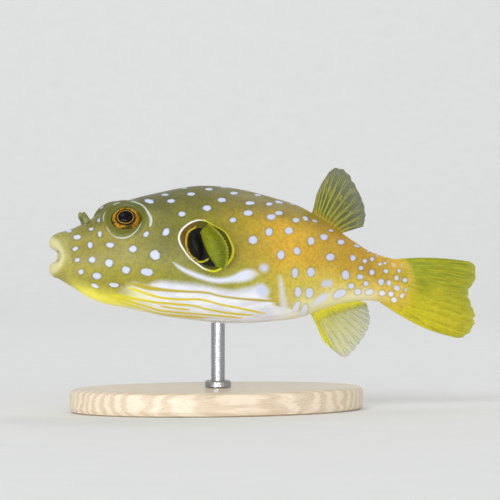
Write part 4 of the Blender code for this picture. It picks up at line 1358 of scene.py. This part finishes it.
def pectoralFin(side):
    look = fins["pectoral"]
    shares = np.linspace(0, 1, 41)
    feet = [flankOut(between(look["rootBack"], share), between(look["rootUp"], share)) for share in shares]

    def shape(along, across):
        foot = np.interp(across, shares, np.array(feet) - look["rootDeep"])
        root = np.stack([between(look["rootBack"], across), foot, between(look["rootUp"], across)], axis=1)
        rising = between(np.radians(look["spread"]), across)
        bend = between(np.radians(look["turnedOut"]), np.sin(np.pi * across))
        bend = bend - math.radians(look["curl"]) * along
        way = np.stack([np.cos(bend) * np.cos(rising), np.sin(bend) * np.cos(rising), np.sin(rising)], axis=1)
        length = look["length"] * (0.66 + 0.34 * np.sin(np.pi * (0.08 + 0.84 * across)) ** 0.7)
        return (root + way * (length * along)[:, None]) * (1, side, 1)
    return shape


def marginAt(look, across, rng):
    # how far along the membrane reaches: full at a ray's tip, a little less between two
    hollow = np.abs(np.cos(np.pi * look["rays"] * across))
    ragged = np.interp(across, np.linspace(0, 1, 40), rng.uniform(0, fins["ragged"], 40))
    return 1 - look["scallop"] * hollow**1.5 - ragged


def buildWeb(name, shape, look, seed):
    # the membrane with its fleshy root, as a closed sheet
    columns, rows = look["columns"], look["rows"]
    across = np.linspace(0, 1, columns)
    ends = marginAt(look, across, np.random.default_rng(seed))
    alongGrid = np.linspace(0, 1, rows)[:, None] * ends[None, :]
    acrossGrid = np.broadcast_to(across, alongGrid.shape)
    points = shape(alongGrid.ravel(), acrossGrid.ravel()).reshape(rows, columns, 3)
    normal = np.cross(np.gradient(points, axis=0), np.gradient(points, axis=1))
    normal /= np.maximum(np.linalg.norm(normal, axis=2, keepdims=True), tiny)
    flesh, footing = rootFlesh(look["flesh"], points, acrossGrid)
    billow = fins["billow"] * np.sin(np.pi * look["rays"] * acrossGrid) ** 2 * smoothStep(0.2, 0.7, alongGrid)
    thick = between((fins["web"], fins["webTip"]), alongGrid) + flesh
    front = points + normal * (thick / 2 + billow)[..., None]
    back = points - normal * (thick / 2 - billow)[..., None]
    both = np.vstack([front.reshape(-1, 3), back.reshape(-1, 3)])
    faces, size = [], rows * columns
    for row in range(rows - 1):
        for column in range(columns - 1):
            a = row * columns + column
            quad = (a, a + 1, a + columns + 1, a + columns)
            faces.append(quad)
            faces.append(tuple(size + v for v in reversed(quad)))
    indices = np.arange(size).reshape(rows, columns)
    edge = [*indices[0], *indices[1:, -1], *indices[-1, -2::-1], *indices[-2:0:-1, 0]]
    for a, b in zip(edge, [*edge[1:], edge[0]]):
        faces.append((a, size + a, size + b, b))
    made = buildObject(name, toMetres(both), faces)
    fixNormals(made)
    for field, values in (("along", alongGrid), ("across", acrossGrid), ("flesh", flesh),
                          ("footing", np.minimum(footing, 3))):
        setField(made, field, np.tile(values.ravel(), 2))
    return made


def rayLines(shape, look):
    # each ray forks twice; every stretch is one line of points with its own radius
    places, radii, edges, alongs, acrosses = [], [], [], [], []
    firstFork, secondFork = look["branches"]
    spacing = 1 / look["rays"]

    def addStretch(start, end, middle, offset):
        along = np.linspace(start, end, max(6, int(fins["raySteps"] * (end - start))))
        across = np.clip(middle + np.array([offset(a) for a in along]), 0.004, 0.996)
        first = sum(len(p) for p in places)
        places.append(shape(along, across))
        stout = look["firstRay"] if middle < spacing else 1.0
        radii.append(stout * between(look["rayWidth"], along**0.8) / 2)
        acrosses.append(across)
        alongs.append(along)
        edges.extend((first + k, first + k + 1) for k in range(len(along) - 1))

    for ray in range(look["rays"]):
        middle = (ray + 0.5) * spacing
        addStretch(0.02, firstFork + 0.02, middle, lambda a: 0)
        for way in (-1, 1):
            def fork(a, way=way):
                far = float(smoothStep(firstFork - 0.02, 1.15, a)) ** 0.8
                return way * spacing * fins["forkSpread"] * far
            addStretch(firstFork, secondFork + 0.02, middle, fork)
            for twig in (-1, 1):
                def split(a, way=way, twig=twig):
                    near = float(smoothStep(secondFork - 0.02, 1.1, a))
                    return fork(a) + twig * spacing * fins["twigSpread"] * near
                addStretch(secondFork, 0.985, middle, split)
    return np.vstack(places), edges, *(np.concatenate(part) for part in (radii, alongs, acrosses))


def finRayTree():
    # lines with a radius become round rays
    tree, given, result = newGroup(
        "finRays",
        [("Lines", "Geometry", None), ("Ray Thickness", "Float", 1.0), ("Ray Sides", "Int", 8),
         ("Ray Look", "Material", None)],
        [("Rays", "Geometry")], "GeometryNodeTree")
    family = "GeometryNode"
    radius = put("InputNamedAttribute", {"Name": "rayRadius"}, family, data_type="FLOAT").outputs["Attribute"]
    circle = put("CurvePrimitiveCircle", {"Resolution": given["Ray Sides"], "Radius": 1.0}, family)
    curves = put("MeshToCurve", {"Mesh": given["Lines"]}, family)
    tube = put("CurveToMesh", {"Curve": curves.outputs["Curve"], "Profile Curve": circle.outputs["Curve"],
                               "Scale": times(radius, given["Ray Thickness"]), "Fill Caps": True}, family)
    smooth = put("SetShadeSmooth", {"Geometry": tube.outputs["Mesh"]}, family)
    real = put("RealizeInstances", {"Geometry": smooth.outputs["Geometry"]}, family)
    look = put("SetMaterial", {"Geometry": real.outputs["Geometry"], "Material": given["Ray Look"]}, family)
    tree.links.new(look.outputs["Geometry"], result["Rays"])
    return tree


def growRays(name, shape, look, tree, material):
    points, edges, radii, along, across = rayLines(shape, look)
    mesh = bpy.data.meshes.new(name + "_lines")
    mesh.from_pydata(toMetres(points).tolist(), edges, [])
    lines = bpy.data.objects.new(name + "_lines", mesh)
    scene.collection.objects.link(lines)
    setField(lines, "rayRadius", radii * placing["millimetre"])
    setField(lines, "along", along)
    setField(lines, "across", across)
    modifier = lines.modifiers.new("Rays", "NODES")
    modifier.node_group = tree
    sockets = {item.name: item.identifier for item in tree.interface.items_tree if item.in_out == "INPUT"}
    modifier[sockets["Ray Thickness"]] = 1.0
    modifier[sockets["Ray Sides"]] = fins["raySmoothness"]
    modifier[sockets["Ray Look"]] = material
    graph = bpy.context.evaluated_depsgraph_get()
    grown = bpy.data.meshes.new_from_object(lines.evaluated_get(graph))
    bpy.data.objects.remove(lines)
    made = bpy.data.objects.new(name, grown)
    scene.collection.objects.link(made)
    grown.shade_smooth()
    return made


finColours = {
    "caudal": {"root": (202, 172, 54), "front": (146, 154, 20), "rear": (198, 186, 20),
               "margin": (184, 186, 64), "ray": (188, 180, 24), "streak": (116, 122, 16)},
    "dorsal": {"root": (158, 128, 30), "front": (88, 98, 30), "rear": (74, 84, 34),
               "margin": (96, 104, 62), "ray": (170, 166, 48), "streak": (58, 68, 22)},
    "anal": {"root": (222, 212, 60), "front": (196, 194, 70), "rear": (150, 160, 96),
             "margin": (160, 168, 116), "ray": (206, 200, 40), "streak": (120, 126, 60)},
    "pectoral": {"root": (146, 154, 30), "front": (124, 132, 22), "rear": (104, 118, 24),
                 "margin": (196, 190, 44), "ray": (136, 146, 26), "streak": (92, 104, 18)},
}
webLooks = {
    # from here to there across the fin, along it or in the fibres, then from strength to strength
    "frontToRear": (0.1, 0.9),
    "streaks": (0.5, 0.66, 0.0, 0.5),
    "rayStreaks": (0.46, 0.34, 0.0, 0.6),
    "margin": (0.86, 1.0, 0.0, 0.7),
    "stripe": (0.45, 0.98),
    "stripeFades": (0.95, 0.2, 0.0, 0.85),
    "frontEdge": (0.15, 0.05),
    "sheerFrom": (0.3, 1.0),
    "denseRoot": (1.5, 0.5),
    "fibres": (1.6, 2.6),    # how drawn out they are, and their scale
    "mottle": (2.6, 0.25),
    "rayMottle": (1.6, 0.3),
    "rayJoints": (0.75, 0.98, 0.0, 0.3),
    "jointTint": (0.62, 0.56, 0.4),
    "bump": (0.4, 0.00012),
}
finShine = {"Coat Weight": 0.12, "Coat Roughness": 0.25, "Specular IOR Level": 0.3}


def webMaterial(name):
    made, shader = newMaterial(name + "Web")
    look, hue = fins[name], {part: paint(*rgb) for part, rgb in finColours[name].items()}
    where = coordinates()
    along, across, footing = (attribute(label) for label in ("along", "across", "footing"))
    footing = plus(footing, unevenness(where, 420, 0.5, roughness=0.7))
    drawnOut = {"X": times(across, look["rays"]), "Y": times(along, webLooks["fibres"][0])}
    fibres = noise(put("CombineXYZ", drawnOut).outputs[0], webLooks["fibres"][1], 3, 0.6)
    colour = mixColour(rise(across, *webLooks["frontToRear"]), hue["front"], hue["rear"])
    colour = mixColour(rise(footing, *look["rootFade"]), colour, hue["root"])
    colour = mixColour(rise(fibres, *webLooks["streaks"]), colour, hue["streak"])
    colour = mixColour(rise(fibres, *webLooks["rayStreaks"]), colour, hue["ray"])
    colour = mixColour(rise(along, *webLooks["margin"]), colour, hue["margin"])
    onRay = calculate("ABSOLUTE", calculate("SINE", times(across, look["rays"] * math.pi)))
    stripe = times(rise(onRay, *webLooks["stripe"]), rise(along, *webLooks["stripeFades"]))
    if look.get("striped"):
        colour = mixColour(stripe, colour, hue["ray"])
    frontEdge = rise(across, *webLooks["frontEdge"])
    if look.get("stoutFront"):
        colour = mixColour(frontEdge, colour, hue["ray"])
    alpha = rise(along, *webLooks["sheerFrom"], *look["sheer"])
    if not look.get("evenRoot"):
        alpha = calculate("MAXIMUM", alpha, rise(footing, *webLooks["denseRoot"]))
        alpha = calculate("MAXIMUM", alpha, stripe)
    if look.get("stoutFront"):
        alpha = calculate("MAXIMUM", alpha, frontEdge)
    mottled = mottle(colour, *webLooks["mottle"])
    fillInputs(shader, {"Base Color": mottled["Colour"], "Roughness": mottled["Roughness"],
                        "Alpha": alpha, **finShine})
    addBump(shader, plus(times(mottled["Height"], 0.5), fibres), *webLooks["bump"])
    return made


def rayMaterial(name):
    made, shader = newMaterial(name + "Rays")
    root, ray, margin = (paint(*finColours[name][part]) for part in ("root", "ray", "margin"))
    along = attribute("along")
    joints = put("TexWave", {"Vector": put("CombineXYZ", {"X": along}).outputs[0], "Scale": 9.0,
                             "Distortion": 0.4}, wave_type="BANDS", bands_direction="X").outputs["Fac"]
    colour = ramp(along, [(0.0, root), (0.25, ray), (0.85, ray), (1.0, margin)])
    colour = mixColour(rise(joints, *webLooks["rayJoints"]), colour, tinted(colour, webLooks["jointTint"]))
    mottled = mottle(colour, *webLooks["rayMottle"])
    alpha = rise(along, 0.8, 1.0, 1.0, 0.35 + 0.5 * fins[name]["sheer"][1])
    fillInputs(shader, {"Base Color": mottled["Colour"], "Roughness": mottled["Roughness"],
                        "Alpha": alpha, **finShine})
    return made


def dressFin(node, kind, shape, seed, webLook, rayLook):
    web = buildWeb(node + "_web", shape, fins[kind], seed)
    web.data.materials.append(webLook)
    rays = growRays(node + "_rays", shape, fins[kind], rayTree, rayLook)
    for piece in (web, rays):
        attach(piece, "root")
        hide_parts(node)


rayTree = finRayTree()
finLooks = {kind: (webMaterial(kind), rayMaterial(kind)) for kind in finColours}
dressFin("dorsal_fin", "dorsal", uprightFin("dorsal"), 3, *finLooks["dorsal"])
dressFin("anal_fin", "anal", uprightFin("anal"), 4, *finLooks["anal"])
dressFin("caudal_fin", "caudal", caudalFin, 5, *finLooks["caudal"])
for side, word in ((-1, "left"), (1, "right")):
    dressFin("pectoral_fin_" + word, "pectoral", pectoralFin(side), 6, *finLooks["pectoral"])


print("nostrils, beak and stand")
small = {
    "flesh": ((88, 100, 44), (140, 142, 80)),
    "enamel": ((236, 228, 206), (206, 186, 140)),
    "wood": ((234, 218, 194), (208, 186, 156)),
    "pores": (0.74, 0.68, 0.6),
    "steel": (176, 178, 182),
    "brushed": (0.82, 0.82, 0.82),
}


def dressNodes(names, material):
    for name in names:
        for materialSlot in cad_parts[name].material_slots:
            materialSlot.link = "OBJECT"
            materialSlot.material = material


def stretch(x, y, z):
    return put("Mapping", {"Vector": coordinates(), "Scale": (x, y, z)}).outputs[0]


nostrilLook, shader = newMaterial("nostrilFlesh")
first, second = (paint(*rgb) for rgb in small["flesh"])
colour = mixColour(rise(noise(coordinates(), 500), 0.35, 0.6), first, second)
mottled = mottle(colour, 1.2, 0.6)
fillInputs(shader, {"Base Color": mottled["Colour"], "Roughness": mottled["Roughness"]})
addBump(shader, mottled["Height"], 0.3, 0.0001)
dressNodes(("nostril_left", "nostril_right"), nostrilLook)

enamelLook, shader = newMaterial("beakEnamel")
first, second = (paint(*rgb) for rgb in small["enamel"])
stain = noise(coordinates(), 700)
fillInputs(shader, {"Base Color": mixColour(rise(stain, 0.35, 0.7), first, second),
                    "Roughness": rise(stain, 0.3, 0.7, 0.16, 0.3)})
addBump(shader, noise(coordinates(), 1500, 2), 0.15, 0.00008)
dressNodes(("beak_upper", "beak_lower"), enamelLook)

woodLook, shader = newMaterial("maple")
first, second = (paint(*rgb) for rgb in small["wood"])
bands = put("TexWave", {"Vector": stretch(0.18, 1, 1), "Scale": 120.0, "Distortion": 6.0,
                        "Detail": 3.0, "Detail Scale": 1.4},
            wave_type="BANDS", bands_direction="Y").outputs["Fac"]
pore = noise(stretch(0.06, 1, 1), 2600, 3, 0.6)
colour = mixColour(rise(bands, 0.1, 0.95, 0.0, 0.7), first, second)
colour = mixColour(rise(pore, 0.54, 0.72), colour, tinted(colour, small["pores"]))
fillInputs(shader, {"Base Color": colour, "Roughness": rise(pore, 0.3, 0.7, 0.32, 0.5),
                    "Coat Weight": 0.35, "Coat Roughness": 0.18})
addBump(shader, pore, 0.2, 0.0001)
dressNodes(("stand_base",), woodLook)

steelLook, shader = newMaterial("brushedSteel")
brushing = noise(stretch(0.05, 0.05, 1), 5200, 2, 0.6)
steel = paint(*small["steel"])
colour = mixColour(brushing, steel, tinted(steel, small["brushed"]))
fillInputs(shader, {"Base Color": colour, "Roughness": rise(brushing, 0.3, 0.7, 0.22, 0.38),
                    "Metallic": 1.0})
addBump(shader, brushing, 0.12, 0.00005)
dressNodes(("stand_rod",), steelLook)


print("floor, lights and camera")
stage = {
    "floor": ((236, 236, 234), (230, 231, 230)),
    "floorRoughness": 0.8,
    "size": 6.0,             # metres to either side and towards the camera
    "wallAway": 2.2,
    "wallHeight": 4.0,
    "bend": 1.2,             # radius between the floor and the wall
    "world": (0.87, 0.88, 0.9),
    "worldStrength": 0.62,
    # metres to the right of the fish, behind it and above it, width, height, power; the last one's
    # aim lies behind and above the fish, so that it washes over the backdrop
    "lights": {
        "key": (-0.75, -1.2, 1.4, 1.0, 1.0, 10.2),
        "fill": (1.2, -1.3, 0.5, 1.0, 1.0, 3.0),
        "low": (-0.3, -1.3, -0.02, 1.2, 0.06, 8.2),
        "rim": (0.4, 0.5, 0.9, 0.6, 0.4, 1.0),
        "wash": (0.0, 1.2, 1.7, 3.0, 0.8, 8.0, (1.7, 0.1)),
    },
    "clip": (0.02, 30),
}


def buildBackdrop():
    # a floor that bends up into a wall far behind the fish
    half, bend, away = stage["size"], stage["bend"], stage["wallAway"]
    profile = [(-half, 0.0), (away - bend, 0.0)]
    for t in np.linspace(0.1, np.pi / 2, 16):
        profile.append((away - bend + bend * math.sin(t), bend - bend * math.cos(t)))
    profile.append((away, stage["wallHeight"]))
    points = [tuple(viewForward * d + viewRight * w + viewUp * h) for d, h in profile for w in (-half, half)]
    faces = [(2 * k, 2 * k + 1, 2 * k + 3, 2 * k + 2) for k in range(len(profile) - 1)]
    return buildObject("backdrop", points, faces)


floorLook, shader = newMaterial("palePaper")
first, second = (paint(*rgb) for rgb in stage["floor"])
paper = noise(coordinates(), 60, 2)
fillInputs(shader, {"Base Color": mixColour(paper, first, second), "Roughness": stage["floorRoughness"]})
backdrop = buildBackdrop()
backdrop.data.materials.append(floorLook)

world = bpy.data.worlds.new("studio")
world.use_nodes = True
background = world.node_tree.nodes["Background"]
background.inputs["Color"].default_value = (*stage["world"], 1)
background.inputs["Strength"].default_value = stage["worldStrength"]
scene.world = world
scene.view_settings.view_transform = "Standard"


def addLight(name, right, forward, up, width, height, power, aim=(0, 0)):
    # placed from the camera's point of view, and turned towards the fish or a point behind and above it
    light = bpy.data.lights.new(name, "AREA")
    light.shape = "RECTANGLE"
    light.size, light.size_y = width, height
    light.energy = power
    made = bpy.data.objects.new(name, light)
    scene.collection.objects.link(made)
    target = Vector(view["target"]) * placing["millimetre"]
    made.location = target + Vector(viewRight * right + viewForward * forward) + Vector((0, 0, up))
    target += Vector(viewForward) * aim[0] + Vector((0, 0, aim[1]))
    made.rotation_mode = "QUATERNION"
    made.rotation_quaternion = (target - made.location).to_track_quat("-Z", "Y")


for name, row in stage["lights"].items():
    addLight(name, *row)

camera = bpy.data.cameras.new("camera")
camera.lens = view["lens"]
camera.sensor_width = view["sensor"]
camera.clip_start, camera.clip_end = stage["clip"]
cameraObject = bpy.data.objects.new("camera", camera)
scene.collection.objects.link(cameraObject)
target = Vector(view["target"]) * placing["millimetre"]
cameraObject.location = target - Vector(viewForward) * view["distance"] * placing["millimetre"]
cameraObject.rotation_mode = "QUATERNION"
cameraObject.rotation_quaternion = Vector(viewForward).to_track_quat("-Z", "Y")
scene.camera = cameraObject
